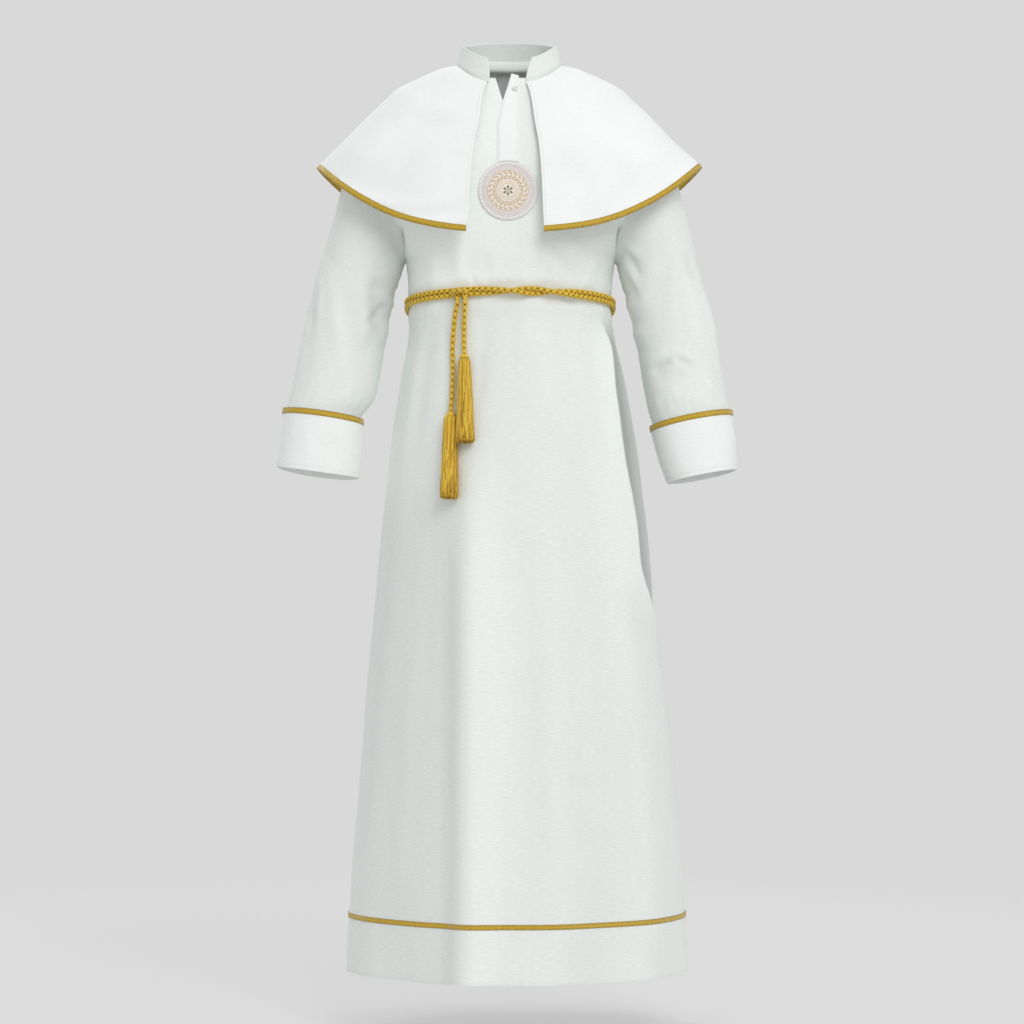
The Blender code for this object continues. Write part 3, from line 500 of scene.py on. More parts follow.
def armholePoint(side, turn):  # on the armhole's edge: turn 0 is the shoulder point and 180 the underarm
    (topX, topZ), (footX, footZ) = bodyPlan["armholeTop"], bodyPlan["armholeFoot"][side]
    top, foot = np.array([topX, 0.0, topZ]), np.array([footX, 0.0, footZ])
    point = (top + foot) / 2 + (top - foot) / 2 * math.cos(math.radians(turn))
    point[1] = bodyPlan["armholeY"] + bodyPlan["armholeDepth"] * math.sin(math.radians(turn))
    return point * [side, 1, 1]


def shoulderRow(row, facing, shares):
    half, side, front, frontZ, back, backZ = row
    depth, middleZ = (front, frontZ) if facing < 0 else (back, backZ)
    turn = np.radians(90.0 * shares)
    z = between(side, middleZ, 1.0 - np.abs(shares) ** bodyPlan["dropPower"])
    return np.stack([half * np.sin(turn), facing * depth * np.cos(turn), z], axis=1)


def armholeRow(row, turn, facing, shares):
    front, frontZ, back, backZ = row
    depth, middleZ = (front, frontZ) if facing < 0 else (back, backZ)
    points = np.empty((len(shares), 3))
    for side in (-1, 1):
        edge = armholePoint(side, turn if facing > 0 else -turn)
        chosen = shares > 0 if side > 0 else shares <= 0
        reach = math.acos(min(1.0, abs(edge[1]) / depth))
        half = abs(edge[0]) / math.sin(reach)
        angle = reach * shares[chosen]
        z = between(edge[2], middleZ, 1.0 - np.abs(shares[chosen]) ** bodyPlan["dropPower"])
        points[chosen] = np.stack([half * np.sin(angle), facing * depth * np.cos(angle), z], axis=1)
    return points


def panelRows(facing, shares):
    shoulders = bodyPlan["shoulders"] if facing < 0 else [bodyPlan["neckBack"], *bodyPlan["shoulders"]]
    rows = [shoulderRow(row, facing, shares) for row in shoulders]
    step = 180.0 / (len(bodyPlan["armholes"]) + 1)
    for number, row in enumerate(bodyPlan["armholes"], start=1):
        rows.append(armholeRow(row, number * step, facing, shares))
    angles = 90.0 * shares if facing < 0 else 180.0 - 90.0 * shares
    rows.extend(skirtPoints(angles, row[0]) for row in bodyPlan["skirt"])
    rows = np.array(rows)
    rows[:, [0, -1], 1] += facing * bodyPlan["seamGap"]
    return rows if facing < 0 else rows[:, ::-1]


# The ripples that the cincture draws into the cloth, and the alb's own creases

beltPlan = {"sideZ": -303.0, "frontRise": 12.7, "backDrop": 22.0}

gatherPlan = {
    "seed": 7, "count": 50, "stray": 0.36, "depth": (0.35, 1.2), "ways": (1.0, 1.0, -0.7),
    "width": (2.8, 5.6), "above": (18.0, 46.0), "below": (24.0, 70.0), "lean": (-0.12, 0.12),
    "round": (134.0, 103.0),  # half the waist's width and depth
    "lift": 0.7, "liftReach": 9.0, "bulge": 1.4, "bulgeAway": 17.0, "bulgeReach": 9.0,
    "pressed": 0.3, "pressedReach": 12.0,  # the cords press the ripples nearly flat
    "degree": 2.1,  # mm of cloth
}

bodyCreases = {  # across, z, across, z, width, depth (mm; a ridge above 0)
    "front": [
        (-65, -206, -64, -288, 8, 1.7), (-84, -208, -82, -286, 11, -1.6), (-104, -232, -92, -290, 7, 1.2),
        (44, -214, 92, -282, 8, -1.5), (60, -206, 112, -270, 8, 1.5), (118, -236, 96, -288, 6, 1.3),
        (20, -228, 26, -286, 10, 0.9), (-30, -232, -34, -284, 8, -0.8), (-52, -262, -40, -290, 3.5, -0.9),
        (66, -300, 118, -312, 5, -1.6), (118, -318, 152, -520, 11, 3.2), (142, -356, 180, -620, 9, 2.2),
        (104, -330, 128, -560, 12, -2), (84, -312, 94, -440, 8, 1.3), (40, -306, 52, -470, 9, 1.4),
        (8, -306, 4, -420, 8, -1.1), (-30, -306, -40, -470, 7, -1.5), (-98, -308, -126, -520, 9, -1.8),
        (-112, -312, -146, -560, 8, 1.6), (-20, -620, -14, -980, 16, 1.4), (34, -700, 46, -1110, 15, -1.3),
        (92, -640, 118, -1080, 13, 1.5), (150, -760, 168, -1120, 13, -1.6),
        (-128, -700, -150, -1150, 12, 1.8), (-104, -560, -118, -860, 10, -1.2),
        (-147, -190, -140.5, -248, 3.6, -7), (151, -190, 144.5, -248, 3.6, -7),
        (-20, -1060, 30, -1082, 9, 0.7), (70, -930, 120, -952, 10, -0.7),
    ],
    "back": [
        (-40, -226, -34, -300, 8, 1.7), (-62, -224, -58, -306, 8, -1.5), (28, -226, 30, -312, 9, 1.4),
        (58, -222, 76, -300, 8, -1.6), (92, -228, 88, -300, 7, 1.4), (-92, -232, -104, -296, 7, 1.2),
        (-18, -340, -30, -640, 8, 3.4), (34, -338, 52, -620, 8, 3.8), (8, -344, 8, -700, 9, -4),
        (-62, -336, -88, -720, 9, -3.8), (84, -334, 116, -680, 9, -3.4), (-110, -330, -142, -760, 10, 3.4),
        (-20, -720, -30, -1160, 12, 3.6), (68, -740, 84, -1160, 11, -3.8), (130, -700, 156, -1150, 12, 3.2),
        (-118, -760, -136, -1165, 12, -3.6),
    ],
    "left": [
        (-22, -330, -38, -760, 12, 2.2), (26, -340, 44, -900, 13, 2.4), (4, -360, 2, -1120, 12, -2.2),
        (-48, -560, -64, -1140, 13, -1.6),
    ],
    "right": [
        (-40, -330, -64, -700, 12, 2.4), (-12, -340, -20, -980, 12, -2.4), (22, -336, 40, -860, 12, 2),
        (52, -560, 78, -1140, 14, -1.8),
    ],
}

# The skirt's folds stand out more sharply than their solid's, by this much again.
sharperFolds = [  # angle, width, depth, top, full, foot
    (14, 7, 1.2, -400, -900, -1199), (30, 9, -1.8, -400, -900, -1199), (48, 7, 1.8, -380, -760, -1199),
    (154, 6, 4.6, -380, -850, -1199), (167, 5, -5.4, -380, -850, -1199), (188, 5, -3, -380, -900, -1199),
    (205, 6, 5, -380, -850, -1199), (219, 5.5, -5, -380, -850, -1199), (137, 5.5, -4.4, -380, -900, -1199),
    (116, 6.5, -3.6, -380, -900, -1199), (256, 6.5, -3.6, -380, -900, -1199),
]

# Two folds with a crisp edge: a straight one down the front, and one that leans forward at the right side.
frontEdge = [  # x, depth
    (-215, 0), (-182, -2), (-152, -4.6), (-132, -7), (-116, -8.8), (-102, -10.2), (-92, -10.6), (-82, -8.2),
    (-70, -1.6), (-58, 6.2), (-50, 9.4), (-42, 9.4), (-30, 7), (-8, 3), (30, 0),
]
sideEdge = [  # angle, depth
    (34, 0), (45, 3.2), (52.5, 6.6), (56, 8.2), (57.5, 7.2), (59.5, -0.4), (63, -5), (73, -5.4), (83, -2.4),
    (91, 0), (116, 0),
]
# The painted shade on the cloth behind the side's edge, where the fold holds shade, in the units of
# paintedFoldShading.
sideShade = [
    (56.2, 0), (58, -7.2), (66, -6.8), (78, -5.2), (86, -3.6), (92, -1.6), (100, 0),
]


sideFold = {  # z where each change starts, mm down (below 0) or up that it takes, and degrees of a swing
    "grows": [(-318.0, -56.0), (-768.0, 104.0)],
    "swings": [(-430.0, 90.0, 6.5), (-470.0, -150.0, 4.0), (-650.0, -130.0, 26.0)],
}


def sideFoldAt(z, angles):  # the angles from the side fold's edge, and how much of the fold there is
    for start, over, swing in sideFold["swings"]:
        angles = angles - swing * rise(z, start, over)
    top, foot = (rise(z, *stretch) for stretch in sideFold["grows"])
    return angles, top * foot


def beltZ(angle):
    ahead = np.cos(np.radians(angle))
    return beltPlan["sideZ"] + np.where(ahead > 0, beltPlan["frontRise"], beltPlan["backDrop"]) * ahead


def waistDepth(points, plan=gatherPlan):
    x, y, z = np.moveaxis(points, 2, 0)
    angle = np.degrees(np.arctan2(x / plan["round"][0], -y / plan["round"][1]))
    away = z - beltZ(angle)
    near = np.abs(away)
    total = plan["lift"] * bell(away, plan["liftReach"])
    total += plan["bulge"] * bell(near - plan["bulgeAway"], plan["bulgeReach"])
    draw = random.Random(plan["seed"])
    for number in range(plan["count"]):
        centre = (number + draw.uniform(-plan["stray"], plan["stray"])) * 360.0 / plan["count"] - 180.0
        depth = draw.uniform(*plan["depth"]) * draw.choice(plan["ways"])
        width, above, below, lean = (draw.uniform(*plan[key]) for key in ("width", "above", "below", "lean"))
        turned = (angle - centre - lean * away + 180.0) % 360.0 - 180.0
        fade = smoothStep(1.0 - near / np.where(away > 0, above, below))
        fade = fade * between(plan["pressed"], 1.0, rise(near, 0.0, plan["pressedReach"]))
        total += depth * fade * bell(turned * plan["degree"], width)
    return total


def angleOf(points):  # each skirt point's angle round the body
    x, y, z = np.moveaxis(points, 2, 0)
    left, right, front, back = skirtSizes(z)
    return np.degrees(np.arctan2(x / np.where(x > 0, right, left), -y / np.where(y < 0, front, back)))


panelPlan = {
    "edgeShares": (0.6, 0.69, 14),  # extra columns where the side fold's edge is crisp
    "noises": [(46.0, 0.75), (17.0, 0.22, 9.0)],  # size, height, seed
    "seam": (13.0, 0.35, 9.0), "trim": (10.0, 0.3, 9.0), "trimAway": 3.5,  # pitch, height, reach
    "halfWidths": ([-1199.0, -243.0], [215.0, 138.0]),  # the body's, by height
    "hemWave": 1.6, "hemWaves": 11.0, "hemSway": 40.0, "hemReach": 60.0,
    "patch": (-1.3, -157.8, 34.0, 20.0), "strip": (15.0, -120.0, 14.0),  # the cloth lies calm under both
    # Painted light on the left of the front, below the cape, lifts its shade: tone, x, reach, lowest z and
    # fade.
    "unshaded": (1.8, -72.0, 75.0, -300.0, 30.0),
    "crisp": (-470.0, -260.0),  # z where the front fold's edge starts, and mm to its full depth
    "backTop": (0.0, 30.0), "pressed": 0.3,
}


def panelCloth(facing, plan=panelPlan):  # the outer face of one body panel with its creases
    shares = np.linspace(-1.0, 1.0, bodyPlan["columns"] + 1)
    if facing < 0:
        shares = np.unique(np.concatenate([shares, np.linspace(*plan["edgeShares"])]))
    points, places, knots = loft(panelRows(facing, shares), bodyPlan["spacing"])
    normals = gridNormals(points)
    normals[:, 0] = normals[:, -1] * [-1, 1, 1]
    angles = angleOf(points)
    x, y, z = np.moveaxis(points, 2, 0)
    turned, along = sideFoldAt(z, angles)
    depth = creasesOn(points, normals, bodyCreases) + foldDepth(angles, z, sharperFolds)
    crisp = lookUp(x, frontEdge) * rise(z, *plan["crisp"]) * (y < 0)
    depth += crisp + lookUp(turned, sideEdge) * along
    depth += waistDepth(points) + sum(softNoise(points, *layer) for layer in plan["noises"])
    edge = (1.0 - np.abs(shares)) * math.pi / 2 * np.interp(z[:, 0], *plan["halfWidths"])[:, None]
    depth += pucker(edge, z, *plan["seam"], facing)
    toTrim = np.abs(places - knots[-2])[:, None] - plan["trimAway"]
    depth += pucker(toTrim, arcLengths(points), *plan["trim"], 2.0)
    sway = plan["hemSway"] * np.sin(np.radians(angles * 3.0))
    wave = plan["hemWave"] * np.sin(np.radians(angles * plan["hemWaves"] + sway))
    depth += wave * bell((places[-1] - places)[:, None], plan["hemReach"])
    patchX, patchZ, patchRim, patchFade = plan["patch"]
    stripHalf, stripFoot, stripFade = plan["strip"]
    patchAway = np.hypot(x - patchX, z - patchZ)
    stripAway = np.maximum(np.abs(x) - stripHalf, np.maximum(0.0, stripFoot - z))
    calm = rise(patchAway, patchRim, patchFade)
    calm *= between(plan["pressed"], 1.0, rise(stripAway, 0.0, stripFade))
    depth *= calm if facing < 0 else rise(places, *plan["backTop"])[:, None]
    outer = points + normals * (bodyPlan["lift"] + depth)[..., None]
    # Painted shade in the folds' troughs and behind the side's edge, painted light on their crests.
    tones = paintedFoldShading(depth) + lookUp(turned, sideShade) * along
    # Painted light lifts the shade on the left of the front, below the cape.
    if facing < 0:
        tone, unshadedX, reach, lowest, fade = plan["unshaded"]
        tones += tone * bell(x - unshadedX, reach) * rise(z, lowest, fade)
    return {"points": outer, "normals": gridNormals(outer), "places": places, "knots": knots, "tones": tones}


trimProfile = [  # share of the braid's width, share of its height
    (0, 0.1), (0.04, 0.7), (0.16, 1), (0.34, 0.92), (0.5, 1), (0.66, 0.92), (0.84, 1), (0.96, 0.7), (1, 0.1),
]
trimHeight = 1.1


def paintedBraidShading(shares, columns):  # painted light along a braid's middle and painted shade at its two edges
    return np.repeat(-np.cos(2.0 * math.pi * np.array(shares))[:, None], columns, axis=1)


# A woven braid sewn flat on the cloth, crowned across.
def trimStrip(name, node, cloth, start, end, closed=False):
    shares, lifts = np.transpose(trimProfile)
    rows, normals = rowsOf(cloth, between(start, end, shares))
    rows = rows + normals * (trimHeight * lifts)[:, None, None]
    tones = paintedBraidShading(shares, rows.shape[1])
    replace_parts(gridPiece(name, rows, goldBraid, closed=closed, tones=tones), node)


notchPlan = {
    "lines": [(-19.5, 2.0), (-8.6, -34.5), (6.0, -14.0), (6.0, 12.0)],  # x, z
    "half": 40.0, "floor": -60.0,
}


def cutNotch(piece, plan):  # cuts the front neckline's notch out of a panel
    shape = bmesh.new()
    shape.from_mesh(piece.data)
    steps = list(zip(plan["lines"], plan["lines"][1:]))
    for (x1, z1), (x2, z2) in steps:
        near = []
        for face in shape.faces:
            centre = face.calc_center_median()
            if centre.y < 0 and abs(centre.x) < plan["half"] * mm and centre.z > plan["floor"] * mm:
                near.append(face)
        parts = near + list({edge for face in near for edge in face.edges})
        parts += list({vertex for face in near for vertex in face.verts})
        start, across = Vector((x1, 0.0, z1)) * mm, Vector((z2 - z1, 0.0, x1 - x2))
        bmesh.ops.bisect_plane(shape, geom=parts, dist=1e-6, plane_co=start, plane_no=across)

    def inside(centre):
        turns = [(x2 - x1) * (centre.z - z1 * mm) - (z2 - z1) * (centre.x - x1 * mm)
                 for (x1, z1), (x2, z2) in steps]
        return centre.y < 0 and all(turn > 0 for turn in turns)

    gone = [face for face in shape.faces if inside(face.calc_center_median())]
    bmesh.ops.delete(shape, geom=gone, context="FACES")
    shape.to_mesh(piece.data)
    shape.free()


frontCloth, backCloth = panelCloth(-1), panelCloth(1)
frontTree = BVHTree.FromPolygons(
    frontCloth["points"].reshape(-1, 3).tolist(), gridFaces(*frontCloth["points"].shape[:2]))
panels = [("Front", frontCloth), ("Back", backCloth)]
for name, cloth in panels:
    across = arcLengths(cloth["points"], bodyPlan["columns"] // 2)
    cloth["piece"] = gridPiece("alb" + name, cloth["points"], linen, across, cloth["places"],
                               tones=cloth["tones"])
    if name == "Front":
        cutNotch(cloth["piece"], notchPlan)
for name, cloth in panels:
    area = dressSheet(cloth["piece"], "alb_" + name.lower(), cloth["points"], bodyPlan)
    trimStrip("hemBraid" + name, "hem_band_" + name.lower(), cloth, cloth["knots"][-3], cloth["knots"][-2])


# Sleeves and cuffs

sleevePlan = {
    "columns": 100, "columnWidth": 3.4, "lift": 1.6, "wall": 1.0, "spacing": [(0, 5.0), (13, 5.0)],
    "bevel": 0.0, "tuck": 3.0, "tuckIn": 1.5, "noises": [(34.0, 0.8), (13.0, 0.2)], "seam": (12.0, 0.35, 8.0),
    # The cloth against the body holds shade: how much, and the mm down the sleeve where it ends.
    "armpitShade": {-1: (-2.9, 330.0), 1: (-1.8, 240.0)}, "shadeReach": 17.0, "shadeFade": 200.0,
    "calmTop": (0.0, 20.0), "calmFoot": (2.0, 26.0),  # mm from an end, and mm to the creases' full depth
    "cuffGathers": (0.5, 13.0, 12.0),  # where the cuff draws the sleeve in: height, mm above it, reach
    "rows": {  # outerX, outerZ, innerX, innerZ, depth, y, frontRise, backDrop
        -1: [
            (187.2, -60, 137.6, -243.5, 60, 3, 0, 0), (203, -84, 143.2, -250, 60, 3, 0, 0),
            (216, -118, 145.2, -257.5, 60, 2, 0, 0), (227.2, -158, 148, -266, 59, 1, 0, 0),
            (239, -200, 152, -279, 57.5, 0, 0, 0), (251, -240, 157, -296, 56, -2, 0, 0),
            (260.4, -271, 161.5, -318, 54.5, -5, 0.5, 0.5), (268, -305, 165, -342, 53, -8, 1, 1),
            (277, -345, 170.5, -373, 52.5, -12, 2, 2), (284.5, -385, 176, -405, 52.5, -17, 3, 3),
            (291.5, -420, 183, -431, 53, -22, 4, 4), (296, -438, 191, -443, 53.5, -24.5, 4, 4),
            (298, -444, 200.2, -454.5, 51.6, -25.9, 4, 4), (298.6, -458, 200.2, -473, 51.6, -27.2, 4, 4.2),
        ],
        1: [
            (187.2, -60, 141.9, -243.5, 60, 3, 0, 0), (204, -84, 147, -250, 60, 3, 0, 0),
            (218, -118, 148.6, -257.5, 60, 2, 0, 0), (230.4, -155, 151, -266.5, 59, 1, 0, 0),
            (240.5, -196, 154.5, -281, 57.5, 0, 0, 0), (251, -238, 159.5, -298, 56, -2, 0, 0),
            (259.5, -272, 164.5, -320, 54.5, -5, 0.5, 0.5), (268, -305, 170, -344, 53, -8, 1, 1),
            (278, -345, 176.5, -376, 52.5, -12, 2.5, 2), (283.5, -385, 181, -406, 53, -17, 4, 3),
            (289, -420, 186, -432, 54, -22, 5, 4), (292.5, -438, 190, -450, 54.3, -24.5, 5.6, 4),
            (294.6, -446, 193.9, -463.5, 52.6, -25.9, 5.6, 4),
            (295.2, -461, 196.2, -480, 52.6, -27.2, 5.6, 4.2),
        ],
    },
    "creases": {
        -1: {
            "front": [
                (-240, -250, -212, -440, 11, 2.6), (-178, -240, -180, -372, 9, -4.2),
                (-194, -286, -198, -360, 4, 1.6), (-172, -296, -196, -316, 5, -1.6),
                (-170, -322, -200, -346, 5, 1.4), (-176, -352, -206, -372, 5, -1.4),
                (-160, -268, -190, -262, 5, 1.5), (-158, -284, -196, -282, 4.5, -1.3),
                (-262, -300, -272, -410, 9, -1.3), (-226, -396, -276, -424, 7, 0.9),
                (-196, -404, -226, -436, 6, 1), (-252, -226, -222, -262, 7, -1.2),
                (-163, -298, -184, -338, 5.2, -6.6), (-171, -316, -172, -350, 5, -4.6),
                (-178, -292, -197, -330, 3.6, 2.4), (-262, -250, -266, -352, 5, -3.4),
                (-250, -262, -254, -340, 4, 1.8),
            ],
            "back": [
                (-170, -290, -216, -306, 7, 2.2), (-168, -312, -222, -330, 6, -2),
                (-172, -334, -226, -360, 7, 1.9), (-180, -366, -240, -392, 8, -1.5),
                (-250, -240, -264, -420, 10, 1.8), (-214, -232, -232, -420, 9, -1.2),
            ],
            "left": [
                (-20, -250, -44, -424, 9, 1.6), (14, -220, 4, -418, 9, -1.6), (-40, -300, 6, -318, 6, 1.1),
                (-46, -344, 0, -352, 6, -1),
            ],
            "right": [
                (-40, -300, 12, -306, 5, 1.6), (-44, -318, 10, -326, 5, -1.8), (-46, -336, 8, -344, 5, 1.6),
                (-48, -358, 2, -364, 6, -1.4), (-30, -284, 26, -290, 5, -1.3),
            ],
        },
        1: {
            "front": [
                (146, -212, 178, -246, 4.5, 1.7), (150, -226, 184, -262, 4, -1.7),
                (152, -246, 182, -282, 4.5, 1.7), (156, -266, 178, -304, 4.5, -1.5),
                (198, -232, 172, -330, 8, 2.2), (214, -240, 200, -340, 8, -1.5),
                (181, -388, 217, -363, 4.5, 2), (213, -364, 246, -382, 5, 1.7),
                (186, -402, 246, -398, 9, -2.6), (188, -438, 236, -424, 6, 1.3),
                (240, -262, 256, -372, 10, 1.7), (232, -300, 238, -356, 8, -1.2),
                (262, -392, 270, -430, 7, 1.1), (216, -408, 224, -440, 6, 0.9),
                (188, -397, 222, -378, 3.8, -5.6), (219, -375, 250, -391, 3.8, -4.6),
                (158, -236, 178, -270, 3.6, -4.2), (162, -258, 180, -292, 3, 2.2),
                (236, -226, 250, -286, 5, -2.6),
            ],
            "back": [
                (172, -292, 220, -310, 7, 2.2), (170, -314, 226, -334, 6, -2.1),
                (176, -338, 232, -356, 7, 1.8), (184, -372, 240, -388, 8, -1.5),
                (252, -244, 262, -420, 10, 1.6), (216, -228, 230, -416, 9, -1.3),
            ],
            "right": [
                (-22, -254, -42, -424, 9, 1.7), (12, -226, 2, -418, 9, -1.5), (-42, -310, 4, -324, 6, 1.2),
                (-46, -352, 0, -362, 6, -1.1),
            ],
            "left": [
                (-40, -302, 12, -308, 5, 1.6), (-44, -322, 10, -330, 5, -1.8), (-46, -340, 8, -348, 5, 1.6),
                (-48, -360, 2, -368, 6, -1.4), (-30, -286, 26, -294, 5, -1.3),
            ],
        },
    },
}

cuffPlan = {
    "spacing": [(0, 3.0), (1, 3.0), (3, 5.0)], "wall": 1.3, "stitchUp": 6.0, "hem": (8.0, 0.22, 6.0),
    "bevel": 0.4, "calmTop": (6.0, 20.0),
    "rows": {
        -1: [
            (301.4, -444, 197.4, -459, 54.2, -26, 4, 4), (302.4, -452, 197.4, -467, 54.4, -26.8, 4, 4.2),
            (306, -485, 198.4, -500, 55.2, -30, 2.2, 5.6), (311, -522.5, 202.4, -537.3, 56, -34, 0.5, 7),
        ],
        1: [
            (298.1, -447, 190.8, -468, 55.3, -26, 5.6, 4),
            (298.8, -455, 192.4, -476, 55.5, -26.8, 5.6, 4.2),
            (302.4, -488, 200.4, -508, 57, -30, 4.2, 4.6), (304.9, -526.5, 213.4, -544, 58, -34, 2.7, 5),
        ],
    },
    "creases": {
        -1: {"front": [(-268, -470, -262, -520, 8, 0.9), (-230, -478, -236, -526, 9, -0.8)],
             "back": [(-232, -476, -240, -530, 9, 1.2), (-274, -470, -280, -524, 8, -1.0)]},
        1: {"front": [(222, -480, 232, -532, 8, 0.9), (262, -474, 262, -528, 9, -0.8)],
            "back": [(228, -476, 236, -530, 9, 1.2), (272, -470, 276, -524, 8, -1.0)]},
    },
}


def sleeveRing(row, side):  # one ring that starts at the inner side of the arm
    outerX, outerZ, innerX, innerZ, depth, y, frontRise, backDrop = row
    turn = fullTurn(sleevePlan["columns"]) + math.pi
    outward, forward = (1.0 + np.cos(turn)) / 2, np.sin(turn)
    z = between(innerZ, outerZ, outward) + frontRise * np.maximum(0.0, forward)
    z -= backDrop * np.maximum(0.0, -forward)
    ring = np.stack([side * between(innerX, outerX, outward), y - depth * forward, z], axis=1)
    return ring if side < 0 else ring[::-1]


def tubeCloth(plan, side, seed):
    points, places, knots = loft([sleeveRing(row, side) for row in plan["rows"][side]], plan["spacing"])
    normals = gridNormals(points, closed=True)
    depth = creasesOn(points, normals, plan["creases"][side])
    depth += sum(softNoise(points, size, height, seed) for size, height in sleevePlan["noises"])
    columns = np.arange(sleevePlan["columns"])
    fromSeam = np.minimum(columns, sleevePlan["columns"] - columns)
    depth += pucker(fromSeam[None, :] * sleevePlan["columnWidth"], points[..., 2], *sleevePlan["seam"], seed)
    return points, places, knots, normals, depth, columns * sleevePlan["columnWidth"], fromSeam


def closeRing(grid):
    return np.concatenate([grid, grid[:, :1]], axis=1)


def makeSleeve(side, name, plan=sleevePlan):
    points, places, knots, normals, depth, around, fromSeam = tubeCloth(plan, side, side * 3.0)
    toCuff = (knots[-2] - places)[:, None]
    depth *= rise(toCuff, *plan["calmFoot"]) * rise(places, *plan["calmTop"])[:, None]
    height, above, reach = plan["cuffGathers"]
    gathers = height * np.sin(around * 0.42 + 2.0 * np.sin(around * 0.09))[None, :]
    depth += gathers * bell(toCuff - above, reach)
    outer = points + normals * (plan["lift"] + depth)[..., None]
    inward = outer[:1] + unit(outer[:1] - outer[1:2]) * plan["tuck"]
    inward[..., 0] -= np.sign(inward[..., 0]) * plan["tuckIn"]
    outer = np.concatenate([inward, outer])
    dark, end = plan["armpitShade"][side]
    shade = dark * bell(fromSeam, plan["shadeReach"]) * rise(places, end, -plan["shadeFade"])[:, None]
    tones = paintedFoldShading(depth) + shade
    tones = np.concatenate([tones[:1], tones])
    sleeve = gridPiece("sleeve" + name, outer, linen, closed=True, tones=tones)
    area = dressSheet(sleeve, "sleeve_" + name.lower(), closeRing(outer), plan)


def makeCuff(side, name, plan=cuffPlan):
    points, places, knots, normals, depth, around, _ = tubeCloth(plan, side, side * 5.0)
    depth *= rise(places, *plan["calmTop"])[:, None]
    toStitches = np.abs(places[-1] - places - plan["stitchUp"])[:, None]
    depth += pucker(toStitches, around[None, :], *plan["hem"], side)
    outer = points + normals * (sleevePlan["lift"] + depth)[..., None]
    cuff = gridPiece("cuff" + name, outer, doubledAndPaintedLitLinen, closed=True, tones=paintedFoldShading(depth))
    area = dressSheet(cuff, "cuff_" + name.lower(), closeRing(outer), plan)
    cloth = {"points": outer, "normals": gridNormals(outer, closed=True), "places": places}
    trimStrip("cuffBraid" + name, "cuff_band_" + name.lower(), cloth, knots[0], knots[1], closed=True)
    return cloth


cuffCloth = {}
for side, name in ((-1, "Left"), (1, "Right")):
    makeSleeve(side, name)
    cuffCloth[name] = makeCuff(side, name)


# The shoulder cape and the collar

capePlan = {
    "frontColumns": 56, "backColumns": 128, "lift": 1.5, "wall": 1.0, "bevel": 0.3, "dropPower": 2.7,
    "spacing": [(0, 4.0), (8, 4.0), (10, 3.0)],
    "noises": [(52.0, 1.1, 4.0), (16.0, 0.22, 6.0)],  # size, height, seed
    "openEdge": (9.0, 0.16, 8.0, 1.0), "hem": (12.0, 0.35, 9.0, 5.0), "edgeSeam": 3.0, "hemSeam": 8.0,
    "hemWave": 1.3, "hemReach": 40.0, "calmTop": (0.0, 24.0),
    "rows": [  # half, side, front, frontZ, back, backZ, leftEdge, rightEdge
        (70.5, 17.5, 64.5, -11, 69, 31, 29, 22.7), (91.5, 13.6, 73, -22, 78.5, 24, 33, 27),
        (105.4, 7.6, 80, -34, 87, 16, 35.5, 29.6), (126, -1.6, 89.5, -50, 96.5, 2, 38, 32),
        (149.2, -12.9, 98.5, -68, 106, -18, 40, 34.5), (168.4, -30.4, 108, -90, 113, -44, 45, 38.5),
        (186, -45.8, 116, -111, 119, -72, 48, 41), (219.5, -80.6, 127.5, -150, 129, -128, 51.5, 43.5),
        (246, -107.5, 136, -194, 138, -190, 54.5, 45.3), (254, -114.5, 139, -207, 141.5, -210, 56, 46),
        (258.6, -120, 140.4, -214.2, 143.5, -217, 56.6, 46.1),
    ],
    "creases": {
        "front": [
            (-56, -98, -84, -101, 4, 0.5), (-56, -112, -90, -108, 4, -0.5), (-58, -124, -86, -126, 4, 0.5),
            (-59, -140, -92, -143, 4.4, -0.5), (-60, -158, -84, -156, 4.4, 0.4),
            (40, -96, 66, -101, 4, -0.5), (41, -109, 72, -106, 4, 0.5), (42, -122, 68, -125, 4, -0.5),
            (43, -137, 74, -134, 4.4, 0.45), (44, -154, 68, -157, 4.4, -0.4),
            (-150, -52, -52, -74, 14, -1.6), (-142, -30, -60, -46, 13, 1.2),
            (-150, -60, -216, -128, 15, 1.7), (-118, -92, -160, -176, 14, -1.5),
            (-84, -110, -98, -196, 12, 1.2), (44, -92, 124, -166, 14, -1.6), (92, -54, 196, -128, 15, 1.5),
            (140, -96, 168, -176, 13, -1.3), (78, -132, 86, -202, 12, 1.3), (62, -34, 132, -62, 12, 0.9),
        ],
        "back": [
            (-40, -30, -70, -196, 15, 2), (10, -40, 14, -204, 15, -2), (52, -30, 86, -190, 14, 2),
            (-96, -60, -136, -170, 13, -1.7), (120, -58, 160, -164, 13, -1.5),
            (-150, -70, -196, -146, 13, 1.7), (-24, -4, 28, -10, 9, -1),
        ],
        "left": [
            (-60, -40, -84, -136, 13, 1.6), (58, -34, 86, -136, 13, 1.6), (0, -30, 2, -108, 12, -1.2),
        ],
        "right": [
            (-56, -36, -90, -136, 13, 1.6), (54, -36, 80, -136, 13, 1.7), (4, -28, -4, -108, 12, -1.3),
        ],
    },
}


def openRing(row, frontColumns, backColumns):  # from the opening's right edge round the back to its left edge
    half, side, front, frontZ, back, backZ, leftEdge, rightEdge = row
    right, left = (math.degrees(math.asin(edge / half)) for edge in (rightEdge, leftEdge))
    turn = np.radians(np.concatenate([
        np.linspace(right, 90.0, frontColumns + 1), np.linspace(90.0, 270.0, backColumns + 1)[1:],
        np.linspace(270.0, 360.0 - left, frontColumns + 1)[1:]]))
    ahead = np.cos(turn)
    middleZ = np.where(ahead > 0, frontZ, backZ)
    z = between(side, middleZ, 1.0 - np.abs(np.sin(turn)) ** capePlan["dropPower"])
    return np.stack([half * np.sin(turn), -np.where(ahead > 0, front, back) * ahead, z], axis=1)


